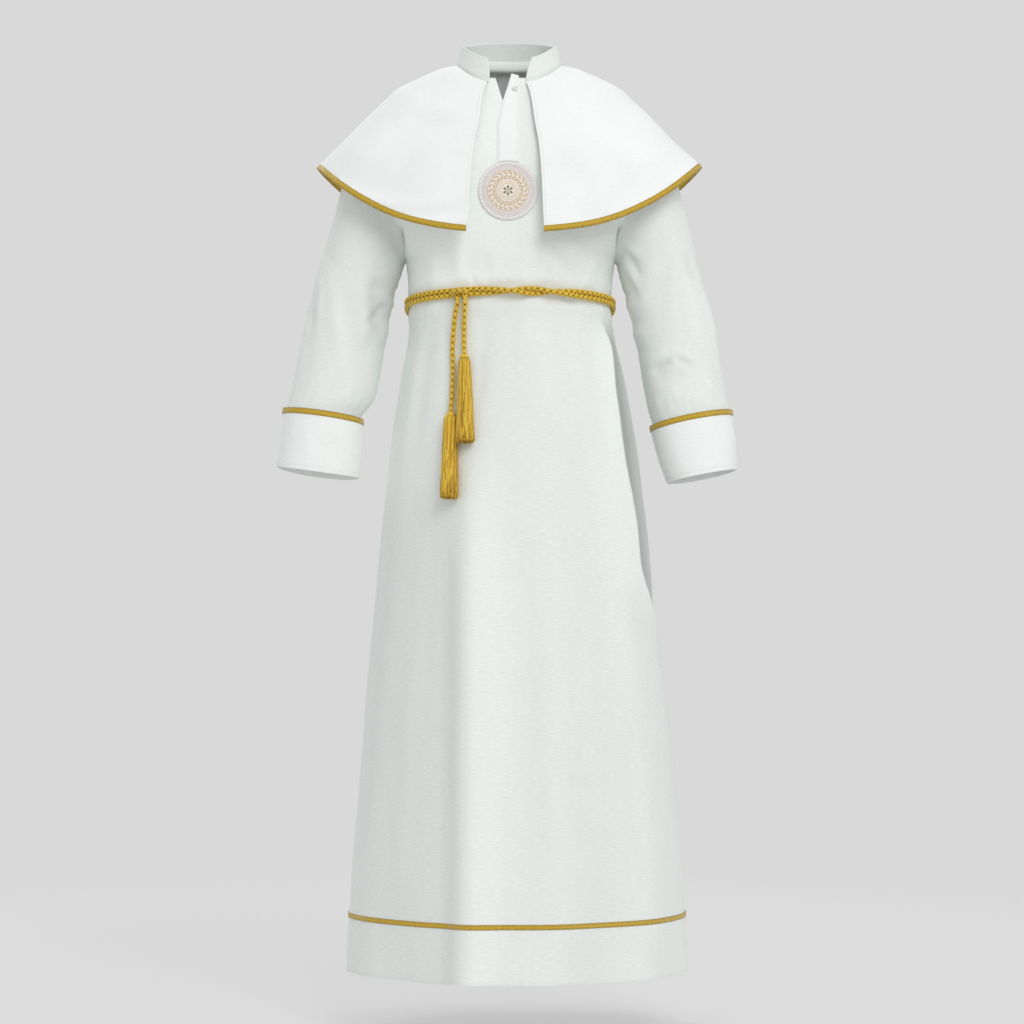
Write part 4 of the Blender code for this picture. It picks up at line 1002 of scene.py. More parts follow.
def capeCloth(plan):
    rows = [openRing(row, plan["frontColumns"], plan["backColumns"]) for row in plan["rows"]]
    points, places, knots = loft(rows, plan["spacing"])
    normals = gridNormals(points)
    across = arcLengths(points)
    depth = creasesOn(points, normals, plan["creases"])
    depth += sum(softNoise(points, *layer) for layer in plan["noises"])
    depth *= rise(places, *plan["calmTop"])[:, None]
    for edge in (across, across[:, -1:] - across):
        depth += pucker(edge - plan["edgeSeam"], points[..., 2], *plan["openEdge"])
    hem = (places[-1] - places)[:, None]
    depth += pucker(hem - plan["hemSeam"], across, *plan["hem"])
    wave = plan["hemWave"] * np.sin(across / 27.0 + 1.6 * np.sin(across / 61.0))
    depth += wave * bell(hem, plan["hemReach"])
    outer = points + normals * (plan["lift"] + depth)[..., None]
    return {"points": outer, "normals": gridNormals(outer), "places": places, "knots": knots,
            "across": across, "tones": paintedFoldShading(depth)}


bindingProfile = [  # share of the braid's width, mm off the cloth
    (0, 0.1), (0.05, 0.7), (0.2, 1), (0.4, 0.92), (0.6, 1), (0.8, 0.92), (0.95, 0.85), (1, 0.7),
]


def bindingStrip(name, cloth, start, wall):  # a braid folded over the cape's hem, from its face to its inside
    outside, lifts = np.transpose(bindingProfile)
    face, normals = rowsOf(cloth, between(start, cloth["places"][-1], outside))
    down = unit(face[-1] - face[-2])
    outer = face + normals * lifts[:, None, None]
    fold = ((0.35, 0.7), (-wall / 2, 0.9), (-wall - 0.35, 0.7))  # mm out from the cloth, mm down
    turned = [face[-1] + normals[-1] * reach + down * drop for reach, drop in fold]
    inner = face[::-1] - normals[::-1] * (wall + lifts[::-1, None, None] * 0.8)
    tones = paintedBraidShading([*outside, 1.0, 1.0, 1.0, *outside[::-1]], face.shape[1])
    return gridPiece(name, np.concatenate([outer, turned, inner]), goldBraid, tones=tones)


cape = capeCloth(capePlan)
shoulders = (capePlan["frontColumns"], capePlan["frontColumns"] + capePlan["backColumns"])
capeCuts = {
    "Right": ("cape_front_right", slice(0, shoulders[0] + 1), (0.33, 0.28)),
    "Back": ("cape_back", slice(shoulders[0], shoulders[1] + 1), (0.62, 0.3)),
    "Left": ("cape_front_left", slice(shoulders[1], None), (0.33, 0.28)),
}
for name, (node, cut, flat) in capeCuts.items():
    cloth = {key: cape[key][:, cut] for key in ("points", "normals", "across", "tones")}
    cloth["places"] = cape["places"]
    # The cape's lighter linen is painted light, as falls on its upward-facing slopes.
    piece = gridPiece("cape" + name, cloth["points"], doubledAndPaintedLitLinen, cloth["across"], cloth["places"],
                      tones=cloth["tones"])
    area = dressSheet(piece, node, cloth["points"], capePlan)
    edge = bindingStrip("capeBraid" + name, cloth, cape["knots"][-2], capePlan["wall"])
    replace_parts(edge, "cape_edge_" + name.lower())

collarPlan = {
    "wall": 1.9, "bevel": 0.55, "lift": 2.0, "spacing": [(0, 2.0), (3, 2.0)], "columns": (24, 56),
    "stitchIn": 2.6, "footStitchUp": 4.0, "stitch": (7.0, 0.14, 4.0, 3.0), "noise": (24.0, 0.5, 12.0),
    "rows": [
        (63.6, 45.8, 58, 21.7, 62, 56.5, 28, 30), (65.6, 34, 59.6, 9.5, 64, 47, 26, 25.6),
        (67.2, 23, 61, -3, 65.6, 37.5, 25.4, 22.9), (67.9, 17.6, 61.8, -11, 66.4, 31, 26.6, 22.8),
    ],
}


def makeCollar(plan):
    points, places, _ = loft([openRing(row, *plan["columns"]) for row in plan["rows"]], plan["spacing"])
    depth = softNoise(points, *plan["noise"])
    depth += pucker(np.abs(places - plan["stitchIn"])[:, None], arcLengths(points), *plan["stitch"])
    outer = points + gridNormals(points) * (plan["lift"] + depth)[..., None]
    collar = gridPiece("standCollar", outer, linen)
    area = dressSheet(collar, "collar", outer, plan)
    return {"points": outer, "normals": gridNormals(outer), "places": places}


collarCloth = makeCollar(collarPlan)


# The cincture: round braided rope of four strands, two winding each way, over a core painted dark as the
# shade between them

ropeForm = {
    "pitch": 17.0, "strandCircle": 2.0, "wave": 0.55, "halfWidth": 2.05, "halfThick": 1.12, "strands": 2,
    "sides": 8, "sideWidth": 1.1, "endFade": 2.4, "ring": 0.95, "core": 1.9, "radius": 3.25,
    "pair": 3.4, "clothGap": 0.8,
}

beltTwist = [(-180, 90), (-20, 90), (1.7, 0), (11.8, -90), (22.6, -180), (44, -270), (180, -270)]
sidePlan = {"sag": 5.0, "at": 103.0, "reach": 13.0}  # the cords hang a little lower just behind each side


def evenPath(points, step, cyclic=False):  # the same path with points a whole number of even steps apart
    points = np.array(points, float)
    if cyclic:
        points = np.concatenate([points, points[:1]])
    lengths = distancesAlong(points)
    wanted = np.linspace(0.0, lengths[-1], max(2, round(lengths[-1] / step)) + 1)
    even = np.stack([np.interp(wanted, lengths, points[:, n]) for n in range(3)], axis=1)
    return (even[:-1] if cyclic else even), lengths[-1]


def smoothPath(points, spacing):  # points about one spacing apart along a smooth curve through the given ones
    points = np.array(points, float)
    padded = np.concatenate([[2 * points[0] - points[1]], points, [2 * points[-1] - points[-2]]])
    route = []
    for before, start, end, after in zip(padded, padded[1:], padded[2:], padded[3:]):
        for share in np.arange(0.0, 1.0, spacing / max(spacing, np.linalg.norm(end - start))):
            bend = (before * 2 - start * 5 + end * 4 - after) * share**2
            turn = (start * 3 - before - end * 3 + after) * share**3
            route.append((start * 2 + (end - before) * share + bend + turn) / 2)
    return np.array([*route, points[-1]])


def pathFrames(path, reference, cyclic=False):
    if cyclic:
        along = np.roll(path, -1, axis=0) - np.roll(path, 1, axis=0)
    else:
        along = np.gradient(path, axis=0)
    along = unit(along)
    reference = np.array(reference, float)
    side = unit(reference - along * (along @ reference)[:, None])
    return along, side, np.cross(along, side)


def tubeRings(path, across, up, sides, wide, thick=None):
    around = fullTurn(sides)[:, None]
    wide = np.reshape(wide, (-1, 1, 1))
    thick = wide if thick is None else np.reshape(thick, (-1, 1, 1))
    rings = path[:, None] + across[:, None] * np.cos(around) * wide + up[:, None] * np.sin(around) * thick
    return rings.reshape(-1, 3)


def tubeMaps(rings, sides, cyclic, width, gap):  # across and along a tube, for each face corner
    ring, side = np.divmod(np.arange((rings if cyclic else rings - 1) * sides), sides)
    corners = [(side, ring), (side, ring + 1), (side + 1, ring + 1), (side + 1, ring)]
    return np.stack([np.stack(corner, axis=-1) for corner in corners], axis=1).reshape(-1, 2) * [width, gap]


def braidedRope(name, path, reference, cyclic=False, form=ropeForm, closeEnds=True):
    _, side, other = pathFrames(path, reference, cyclic)
    rings, sides, pitch, fade = len(path), form["sides"], form["pitch"], np.ones(len(path))
    gap = np.linalg.norm(np.diff(path, axis=0), axis=1).mean()
    run = np.arange(rings) * gap
    if cyclic:
        pitch = (run[-1] + gap) / max(1, round((run[-1] + gap) / pitch))
    elif closeEnds:
        fade = np.sqrt(np.clip((np.minimum(run, run[-1] - run) + 0.2) / form["endFade"], 0.0, 1.0))
    points, tones = [], []
    for way in (1, -1):
        for number in range(form["strands"]):
            turn = way * 2.0 * math.pi * run / pitch + number * 2.0 * math.pi / form["strands"]
            wave = way * np.cos(2.0 * math.pi * form["strands"] * run / pitch)
            out = side * np.cos(turn)[:, None] + other * np.sin(turn)[:, None]
            centre = path + out * ((form["strandCircle"] + form["wave"] * wave) * fade)[:, None]
            along = pathFrames(centre, (0.0, 0.0, 1.0), cyclic)[0]
            flat = unit(np.cross(along, out))
            wide, thick = form["halfWidth"] * fade, form["halfThick"] * fade
            points.append(tubeRings(centre, flat, np.cross(flat, along), sides, wide, thick))
            # Painted light where the strand comes over, painted shade where it dives under.
            tones.append(np.repeat(0.5 + 0.5 * wave, sides))
    # The core is painted darkest, as the shade seen between the strands.
    points.append(tubeRings(path, side, other, sides, form["core"] * fade))
    tones.append(np.zeros(len(points[-1])))
    faces = []
    for number in range(len(points)):
        faces.extend(gridFaces(rings, sides, True, cyclic, number * rings * sides))
    strandMaps = tubeMaps(rings, sides, cyclic, form["sideWidth"], gap)
    maps = np.concatenate([*[strandMaps] * (len(points) - 1), np.zeros(strandMaps.shape)])
    return meshPiece(name, np.concatenate(points), faces, rope, maps, np.concatenate(tones))


# The centre of one of the two cords. Strand 1 lies above strand -1 round the back.
def beltPoints(angles, strand):
    turned = (angles + 180.0) % 360.0 - 180.0
    spread = np.linspace(-5.0, 5.0, 11)  # rounds off the corners of the twist's table
    twist = np.radians(np.mean([lookUp(turned + away, beltTwist) for away in spread], axis=0))
    out = ropeForm["pair"] * np.cos(twist)
    lift = bodyPlan["lift"] + ropeForm["clothGap"] + ropeForm["radius"] + np.abs(out) + strand * out
    points = skirtPoints(angles, beltZ(angles), lift)
    sag = sidePlan["sag"] * bell(np.abs(turned) - sidePlan["at"], sidePlan["reach"])
    points[:, 2] += strand * ropeForm["pair"] * np.sin(twist) - sag
    return points


for name, strand in (("Upper", 1), ("Lower", -1)):
    path, length = evenPath(beltPoints(np.arange(-180.0, 180.0, 0.5), strand), ropeForm["ring"], cyclic=True)
    piece = braidedRope("cincture" + name, path, (0.0, 0.0, 1.0), cyclic=True)
    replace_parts(piece, "cincture_" + name.lower())
    print("alb: waist cord", name, round(length), "mm")


hangingEnds = {  # the route's places are x, z and stand-off
    "Left": {
        "turnX": -68.6, "tasselFoot": (-79.0, -564.8), "seed": 11,
        "route": [(-70.4, -316.0, 9.5), (-73.4, -342.0, 6.2), (-74.9, -368.0, 5.0), (-74.4, -394.0, 4.8),
                  (-75.2, -422.0, 5.6), (-76.8, -452.6, 8.8)],
        "spread": [(0.0, 0.5), (0.025, 1.0), (0.06, 1.28), (0.4, 1.42), (1.0, 1.62)],
    },
    "Right": {
        "turnX": -58.4, "tasselFoot": (-57.6, -490.9), "seed": 23,
        "route": [(-58.8, -316.0, 9.5), (-59.4, -338.0, 6.6), (-59.6, -356.0, 6.6), (-59.0, -376.4, 9.0)],
        "spread": [(0.0, 0.45), (0.04, 0.95), (0.1, 1.08), (0.4, 1.36), (1.0, 1.66)],
    },
}
turnForm = {"footDrop": 7.0, "cordGap": 0.6, "slant": 1.12, "straight": 6.0, "overlap": 2.0, "capOver": 1.5}
tasselClearance = 12.6


def angleAt(x, z):  # the angle on the front of the skirt whose point has this x
    low, high = -89.0, 89.0
    for _ in range(40):
        middle = (low + high) / 2
        if skirtPoints(middle, z)[0] < x:
            low = middle
        else:
            high = middle
    return (low + high) / 2


def beforeSkirt(x, z, standOff):
    angle = angleAt(x, z)
    onCloth, point = (skirtPoints(angle, z, bodyPlan["lift"] + away) for away in (0.0, standOff))
    along = skirtPoints(angle + 1.0, z) - skirtPoints(angle - 1.0, z)
    point = point + along * ((x - point[0]) / along[0])
    return np.array([x, min(point[1], onCloth[1] - ropeForm["radius"] - ropeForm["clothGap"]), z])


def beltAt(x):  # the two cords' centres at an x, and how far forward a rope lies over both
    angle = angleAt(x, float(beltZ(0.0)))
    upper, lower = (beltPoints(np.array([angle]), strand)[0] for strand in (1, -1))
    ahead = (2 * ropeForm["radius"] + turnForm["cordGap"]) * turnForm["slant"]
    return upper, lower, min(upper[1], lower[1]) - ahead


def turnPath(x):  # from behind the bight, over the upper cord and down before the lower one
    upper, lower, front = beltAt(x)
    return np.array([(x, front + 3.4, upper[2] - 0.6), (x, front + 0.8, upper[2] - 2.4),
                     (x, front, (upper[2] + lower[2]) / 2), (x, front, lower[2] - turnForm["footDrop"])])


tasselForm = {
    "cap": [(0.6, 0.0), (3.6, 0.4), (4.9, 1.6), (5.6, 3.2), (6.0, 5.0)],  # radius, mm down
    "capSides": 22, "capWall": 0.5, "ribs": 11.0,
    "strands": 420, "rings": 15, "sides": 4, "thick": 0.72, "radius": 6.9, "ragged": 8.0, "coreUp": 13.0,
    "core": [1.5, 4.4, 5.0, 6.0, 7.0], "coreSides": 16, "coreTone": 0.05, "strandTop": 1.2,
    # Each strand draws its own turn, layer, length, bend, phase, stray and tone.
    "turns": (-0.1, 0.1), "layers": (0.84, 1.02), "bends": (-0.3, 0.3), "phases": (0.0, 6.3),
    "strays": (-0.5, 1.0), "tones": (0.2, 1.0), "wave": (0.45, 14.0), "twist": (0.06, 13.0),
    "goldenTurn": 2.399963,  # each strand springs this far round from the last, so that they spread evenly
}


# Uneven, wavy strands that hang from a small rounded cap.
def makeTassel(name, head, foot, seed, table, form=tasselForm):
    draw = random.Random(seed)
    length = float(np.linalg.norm(foot - head))
    down = (foot - head) / length
    side = unit(np.cross(down, (0.0, 1.0, 0.0)))
    other = np.cross(down, side)
    points, faces, tones = [], [], []

    def addTube(path, thick, tone, sides):
        first = sum(len(p) for p in points)
        last = first + (len(path) - 1) * sides
        points.append(tubeRings(path, *pathFrames(path, side)[1:], sides, thick))
        faces.extend(gridFaces(len(path), sides, True, first=first))
        faces.extend([tuple(range(first, first + sides)), tuple(range(last + sides - 1, last - 1, -1))])
        tones.append(np.full(len(path) * sides, tone))

    # The core inside the strands is painted dark, as the shade between them.
    drops = np.array([2.0, 6.0, 12.0, length * 0.5, length - form["coreUp"]])
    addTube(head + down * drops[:, None], form["core"], form["coreTone"], form["coreSides"])
    share = np.linspace(0.0, 1.0, form["rings"])
    thick = form["thick"] * np.interp(share, [0.0, 0.06, 0.9, 1.0], [0.5, 1.0, 1.0, 0.75])
    (wave, waves), (twist, twists) = form["wave"], form["twist"]
    for number in range(form["strands"]):
        turn = number * form["goldenTurn"] + draw.uniform(*form["turns"])
        layer = draw.uniform(*form["layers"])
        reach = length - form["ragged"] * draw.uniform(0.0, 1.0) ** 2
        bend, phase = draw.uniform(*form["bends"]), draw.uniform(*form["phases"])
        spread = lookUp(share, table) * form["radius"] * layer
        stray = draw.uniform(*form["strays"]) * share**2 + wave * np.sin(share * waves + phase) * share
        angle = turn + bend * share + twist * np.sin(share * twists + phase)
        outward = side * np.cos(angle)[:, None] + other * np.sin(angle)[:, None]
        drop = form["strandTop"] + share * (reach - form["strandTop"])
        path = head + down * drop[:, None] + outward * (spread + stray)[:, None]
        addTube(path, thick, draw.uniform(*form["tones"]), form["sides"])
    tassel = meshPiece(name, np.concatenate(points), faces, tasselYarn,
                       tones=np.concatenate(tones))
    turns = fullTurn(form["capSides"])[:, None]
    ribs = np.cos(turns * form["ribs"])
    around = (1.0 + 0.05 * ribs) * (side * np.cos(turns) + other * np.sin(turns))
    rows = np.array([head + down * drop + radius * around for radius, drop in form["cap"]])
    # Painted light on the cap's ribs and painted shade in the grooves between them.
    capTones = np.tile((0.78 + 0.2 * ribs).ravel(), len(rows))
    capFaces = gridFaces(*rows.shape[:2], closed=True)
    cap = meshPiece(name + "Cap", rows, capFaces, tasselYarn, tones=capTones)
    giveWall(cap, form["capWall"])
    return tassel, cap


for name, end in hangingEnds.items():
    turn = turnPath(end["turnX"])
    path, _ = evenPath(smoothPath(turn, 1.0), ropeForm["ring"])
    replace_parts(braidedRope("cinctureTurn" + name, path, (1.0, 0.0, 0.0)), "cincture_turn_" + name.lower())
    starts = [turn[-1] + [0.0, 0.0, up] for up in (turnForm["overlap"], -turnForm["straight"])]
    points = [*starts, *[beforeSkirt(*place) for place in end["route"]]]
    foot = beforeSkirt(*end["tasselFoot"], tasselClearance)
    down = unit(foot - points[-1])
    path, length = evenPath(smoothPath(points, 2.0), ropeForm["ring"])
    cord = braidedRope("cinctureEnd" + name, path, (1.0, 0.0, 0.0), closeEnds=False)
    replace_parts(cord, "cincture_end_" + name.lower())
    head = path[-1] - down * turnForm["capOver"]
    tassel, cap = makeTassel("tassel" + name, head, foot, end["seed"], end["spread"])
    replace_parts(tassel, "tassel_" + name.lower())
    print("alb: hanging end", name, round(length), "mm, tassel", round(math.dist(foot, path[-1])), "mm")


# The knot: the loop's bight lies over both hanging ends

knotPlan = {"x": -63.5, "forward": 1.9, "down": 2.6, "pieceForm": {
    "strandCircle": 1.6, "wave": 0.5, "halfWidth": 1.7, "halfThick": 0.95, "core": 1.5, "pitch": 15.0}}


def makeKnot(plan):
    upper, _, ahead = beltAt(plan["x"])
    front = ahead - ropeForm["radius"] - plan["forward"]
    middle = upper[2] - plan["down"]
    points = [
        (-77.5, ahead + 6.0, middle - 3.2), (-74.6, ahead + 1.0, middle - 1.4), (-70.5, front + 1.2, middle),
        (plan["x"], front, middle + 0.5), (-56.6, front + 1.2, middle), (-52.8, ahead + 1.0, middle - 1.4),
        (-50.4, ahead + 6.0, middle - 3.0),
    ]
    path, _ = evenPath(smoothPath(points, 1.0), ropeForm["ring"])
    braidedRope("cinctureBight", path, (0.0, 0.0, 1.0), form=ropeForm | plan["pieceForm"])


makeKnot(knotPlan)
print("alb: knot made")


# Stitches: small spindles of thread, sunk at both ends, joined into one mesh for each seam

# A spindle's corners are its start 0, two rings of four and its end 9.
stitchFaces = [corners for n, m in ((0, 1), (1, 2), (2, 3), (3, 0))
               for corners in ((0, 1 + n, 1 + m), (1 + n, 5 + n, 5 + m, 1 + m), (9, 5 + m, 5 + n))]


def stitchMesh(name, lines, pitch=3.0, length=2.2, thick=0.27):
    blocks = []
    for path, normals in lines:
        lengths = distancesAlong(path)
        middles = np.arange(pitch * 0.6, lengths[-1], pitch)

        def sample(values, at):
            return np.stack([np.interp(at, lengths, values[:, n]) for n in range(3)], axis=1)

        start, end = (sample(path, middles + share * length) for share in (-0.5, 0.5))
        centre, out = sample(path, middles), unit(sample(normals, middles))
        along = unit(end - start)
        side = np.cross(along, out)
        shape = [start - out * thick * 0.6]
        for share in (-0.22, 0.22):
            middle = centre + along * (share * length) + out * thick * 0.45
            shape += [middle + way * thick for way in (side, out, -side, -out)]
        shape.append(end - out * thick * 0.6)
        blocks.append(np.stack(shape, axis=1))
    points = np.concatenate(blocks)
    faces = [tuple(number * 10 + corner for corner in corners)
             for number in range(len(points)) for corners in stitchFaces]
    return meshPiece(name, points, faces, sewingThread)


def rowLine(cloth, distance, closed=False):  # the line across a cloth at a distance down it
    rows = [grid[0] for grid in rowsOf(cloth, np.array([distance]))]
    return [np.concatenate([row, row[:1]]) for row in rows] if closed else rows


def columnLines(cloth, fromEdge):  # the lines down a cloth at a distance from its first and its last column
    across = arcLengths(cloth["points"])
    lines = []
    for last in (False, True):
        path, normals = [], []
        for row in range(len(across)):
            at = across[row, -1] - fromEdge if last else fromEdge
            place = np.interp(at, across[row], np.arange(across.shape[1]))
            low = min(int(place), across.shape[1] - 2)
            path.append(between(cloth["points"][row, low], cloth["points"][row, low + 1], place - low))
            normals.append(cloth["normals"][row, low])
        lines.append((np.array(path), np.array(normals)))
    return lines


capeStitch = {"top": 4.0, "in": 3.4}
capeStart = int(np.searchsorted(cape["places"], capeStitch["top"]))
capeStrip = {key: cape[key][capeStart:] for key in ("points", "normals")}
stitchMesh("stitchesCapeEdges", columnLines(capeStrip, capeStitch["in"]))
collarFoot = collarCloth["places"][-1] - collarPlan["footStitchUp"]
stitchMesh("stitchesCollar", [rowLine(collarCloth, collarPlan["stitchIn"]), rowLine(collarCloth, collarFoot)])
for name, cloth in cuffCloth.items():
    cuffFoot = cloth["places"][-1] - cuffPlan["stitchUp"]
    stitchMesh("stitchesCuff" + name, [rowLine(cloth, cuffFoot, closed=True)])
print("alb: stitches made")


# The placket, the button and the patch lie on the front cloth

def frontAt(x, z, lift):  # a point a lift before the front cloth, or before its edge if that is lower
    for step in range(40):
        hit = frontTree.ray_cast(Vector((x, -400.0, z - step * 0.5)), Vector((0.0, 1.0, 0.0)))[0]
        if hit is not None:
            return np.array([x, hit.y - lift, z])
    raise ValueError(f"no cloth behind x {x}, z {z}")


patchPlan = {
    "x": -1.3, "z": -157.8, "radius": 39.0, "back": 0.4, "sides": 120,
    "heights": [  # radius, height of the satin face
        (0, 1.9), (14.5, 1.9), (15.5, 1.6), (27.5, 1.6), (28.5, 1.5), (34, 1.5), (35.5, 1.7), (38, 1.7),
        (38.8, 1.2), (39, 0),
    ],
}

placketPlan = {
    "lift": 0.5, "wall": 1.1, "bevel": 0.4, "columns": 12, "edgeStitch": 2.4, "right": 13.2,
    "heights": (-0.5, -119.4, 37),
    "noise": (15.0, 0.35, 21.0), "rimGap": 0.6,
    "top": (3.0, 0.25), "topFrom": (-14.0, 13.5),  # how far its top rises at its left, and its slant
    # z, x of its left edge
    "left": [(-117, -14.6), (-66, -14.6), (-52, -11.6), (-35, -8), (-17, -2.4), (-8, 0.6), (-0.5, 3.4)],
}


def makePlacket(plan):
    rim = patchPlan["radius"] + plan["rimGap"]
    up, slant = plan["top"]
    rows = []
    for z in np.linspace(*plan["heights"]):
        left = lookUp(z, plan["left"])
        xs = np.linspace(left, plan["right"], plan["columns"] + 1)
        # The strip ends along the patch's rim.
        arcs = patchPlan["z"] + np.sqrt(rim**2 - (xs - patchPlan["x"]) ** 2)
        tops = z + (up - slant * (xs - left)) * rise(z, *plan["topFrom"])
        rows.append([frontAt(x, max(top, arc), plan["lift"]) for x, top, arc in zip(xs, tops, arcs)])
    rows = np.array(rows)
    rows[..., 1] -= softNoise(rows, *plan["noise"])
    placket = gridPiece("placketStrip", rows, doubledAndPaintedLitLinen)
    giveWall(placket, plan["wall"], plan["bevel"], offset=1.0)
    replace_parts(placket, "placket")
    normals = gridNormals(rows)
    lines = columnLines({"points": rows + normals * plan["wall"], "normals": normals}, plan["edgeStitch"])
    stitchMesh("stitchesPlacket", [(path[1:-2], out[1:-2]) for path, out in lines], pitch=2.8, length=2.1)


makePlacket(placketPlan)

buttonPlan = {
    "x": 8.2, "z": -19.5, "radius": 3.6, "gap": 0.5, "placketGap": 0.6, "sides": 40,
    "hole": 0.85, "holeDepth": 0.6, "holeWidth": 0.42, "threadUp": 1.05, "threadEnds": (-1.15, 0.0, 1.15),
    "profile": [  # radius, height
        (0.02, 1.1), (0.5, 1.1), (0.8, 1.1), (1.1, 1.1), (1.4, 1.12), (1.7, 1.15), (2, 1.22), (2.4, 1.42),
        (2.8, 1.58), (3.15, 1.6), (3.45, 1.36), (4, 0.5), (3.45, 0.4), (3, 0.12), (0.02, 0),
    ],
}


def makeButton(plan):  # a four-hole shirt button with a rounded rim, and the thread that holds it
    ups = (0.0, plan["radius"], -plan["radius"])
    centre, above, below = (frontAt(plan["x"], plan["z"] + up, 0.0) for up in ups)
    slope = unit(above - below)
    side = np.array([1.0, 0.0, 0.0])
    out = np.cross(slope, side)
    out = out if out[1] < 0 else -out
    base = centre + out * (plan["placketGap"] + placketPlan["wall"] + plan["gap"])
    turns = fullTurn(plan["sides"])
    rows = []
    for radius, height in plan["profile"]:
        u, v = radius * np.cos(turns), radius * np.sin(turns)
        heights = np.full(len(turns), height)
        if height > 1.0:
            for across, up in ((1, 1), (1, -1), (-1, 1), (-1, -1)):
                away = np.hypot(u - across * plan["hole"], v - up * plan["hole"])
                heights = heights - plan["holeDepth"] * bell(away, plan["holeWidth"])
        rows.append(base + side * u[:, None] + slope * v[:, None] + out * heights[:, None])
    rows = np.array(rows)[:, ::-1] if np.dot(np.cross(side, slope), out) > 0 else np.array(rows)
    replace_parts(gridPiece("pearlButton", rows, pearl, closed=True), "button")
    lines = []
    for across in (-1, 1):
        ends = [base + plan["hole"] * (side * across + slope * up) + out * plan["threadUp"]
                for up in plan["threadEnds"]]
        lines.append((np.array(ends), np.array([out] * 3)))
    stitchMesh("buttonThread", lines, pitch=1.62, length=1.9, thick=0.24)


makeButton(buttonPlan)


def quadratic(u, v):
    return np.stack([np.ones(np.shape(u)), u, v, u * u, u * v, v * v], axis=-1)


# A smooth stand-in for the front cloth behind the patch: its y by x and z from the patch's centre.
def patchSurface():
    places = np.array([(radius * math.cos(turn), radius * math.sin(turn))
                       for radius in (0.0, 10.0, 20.0, 30.0, 39.0)
                       for turn in np.arange(0.0, 2.0 * math.pi, math.pi / 10)])
    y = np.array([frontAt(patchPlan["x"] + u, patchPlan["z"] + v, 0.0)[1] for u, v in places])
    terms = quadratic(*places.T)
    fit = np.linalg.lstsq(terms, y, rcond=None)[0]
    print("alb: patch fit within", round(float(np.abs(terms @ fit - y).max()), 2), "mm")
    return fit


patchFit = patchSurface()


def onPatch(u, v, height):  # a point height mm over the satin face, u across and v up from its centre
    y = quadratic(u, v) @ patchFit - patchPlan["back"] - lookUp(np.hypot(u, v), patchPlan["heights"])
    y = y - height
    return np.stack([patchPlan["x"] + u, y, patchPlan["z"] + v], axis=-1)


def patchDisc(name, radii, lifts, material):
    turns = fullTurn(patchPlan["sides"])
    rows = np.array([onPatch(radius * np.sin(turns), radius * np.cos(turns), lift)
                     for radius, lift in zip(radii, lifts)])
    piece = gridPiece(name, rows, material, closed=True)
    corners = np.empty(len(piece.data.loops), int)
    piece.data.loops.foreach_get("vertex_index", corners)
    flat = rows.reshape(-1, 3)[corners][:, [0, 2]] * mm  # its stitches lie straight across the whole disc
    piece.data.uv_layers["cloth"].data.foreach_set("uv", flat.astype(np.float32).ravel())
    return piece


padForm = {
    "sides": 16, "sharp": 1.25,
    "levels": [(1.0, -0.25), (0.97, 0.3), (0.8, 0.72), (0.5, 0.95), (0.02, 1.0)],  # shares of size, height
}


def patchPads(name, pads, material, form=padForm):  # padded satin stitches, each a long low dome
    points, faces, maps = [], [], []
    around = fullTurn(form["sides"])
    sharp = np.sign(np.sin(around)) * np.abs(np.sin(around)) ** form["sharp"]
    for u, v, turn, halfLength, halfWidth, height in pads:
        first = sum(len(p) for p in points)
        ahead, aside = np.array([math.cos(turn), math.sin(turn)]), np.array([-math.sin(turn), math.cos(turn)])
        for share, lift in form["levels"]:
            flat = (np.array([u, v]) + share * halfLength * np.cos(around)[:, None] * ahead
                    + share * halfWidth * sharp[:, None] * aside)
            points.append(onPatch(flat[:, 0], flat[:, 1], height * lift))
        for level in range(len(form["levels"]) - 1):
            for side in range(form["sides"]):
                after = (side + 1) % form["sides"]
                corners = [(level, side), (level, after), (level + 1, after), (level + 1, side)]
                faces.append(tuple(first + row * form["sides"] + column for row, column in corners))
                for row, column in corners:
                    share = form["levels"][row][0]
                    maps.append((share * halfLength * math.cos(around[column]),
                                 share * halfWidth * math.sin(around[column])))
    return meshPiece(name, np.concatenate(points), faces, material, maps)


def patchCords(name, radii, material, thick, count=120, sides=8):  # couched cords round the patch
    points, faces, maps = [], [], []
    for radius in radii:
        turns = fullTurn(count)
        path = onPatch(radius * np.cos(turns), radius * np.sin(turns), thick * 0.35)
        _, side, other = pathFrames(path, (0.0, 1.0, 0.0), cyclic=True)
        faces.extend(gridFaces(count, sides, True, True, len(points) * count * sides))
        points.append(tubeRings(path, side, other, sides, thick))
        maps.append(tubeMaps(count, sides, True, thick * 0.8, np.linalg.norm(path[1] - path[0]))[:, ::-1])
    return meshPiece(name, np.concatenate(points), faces, material, np.concatenate(maps))


def ringOfPads(count, radius, slant, size, start=0.0):
    turns = start + 2.0 * math.pi * np.arange(count) / count
    return [(radius * math.cos(turn), radius * math.sin(turn), turn + slant, *size) for turn in turns]


groundRadii = [0.05, 4.0, 8.0, 12.0, 14.4, 15.6, 20.0, 24.0, 27.4, 28.6, 31.0, 33.8, 35.4, 37.6, 38.6, 39.0]
emblemPlan = {  # a plain pattern: a six-petalled flower in a leaf wreath, inside a scalloped rim
    "centre": ([0.05, 5.0, 10.0, 13.6, 14.5, 14.8], [0.35, 0.35, 0.35, 0.35, 0.2, -0.2]),
    "leaves": 22, "leafRows": ((19.2, 0.5), (23.9, -0.5)), "leaf": (3.3, 1.15, 0.7),
    "petals": 6, "petalRadius": 4.7, "petal": (2.8, 1.9, 0.7), "heart": (0.0, 0.0, 0.0, 1.5, 1.5, 0.9),
    "scallops": 44, "scallopRadius": 36.5, "scallop": (1.45, 2.5, 0.6),
}


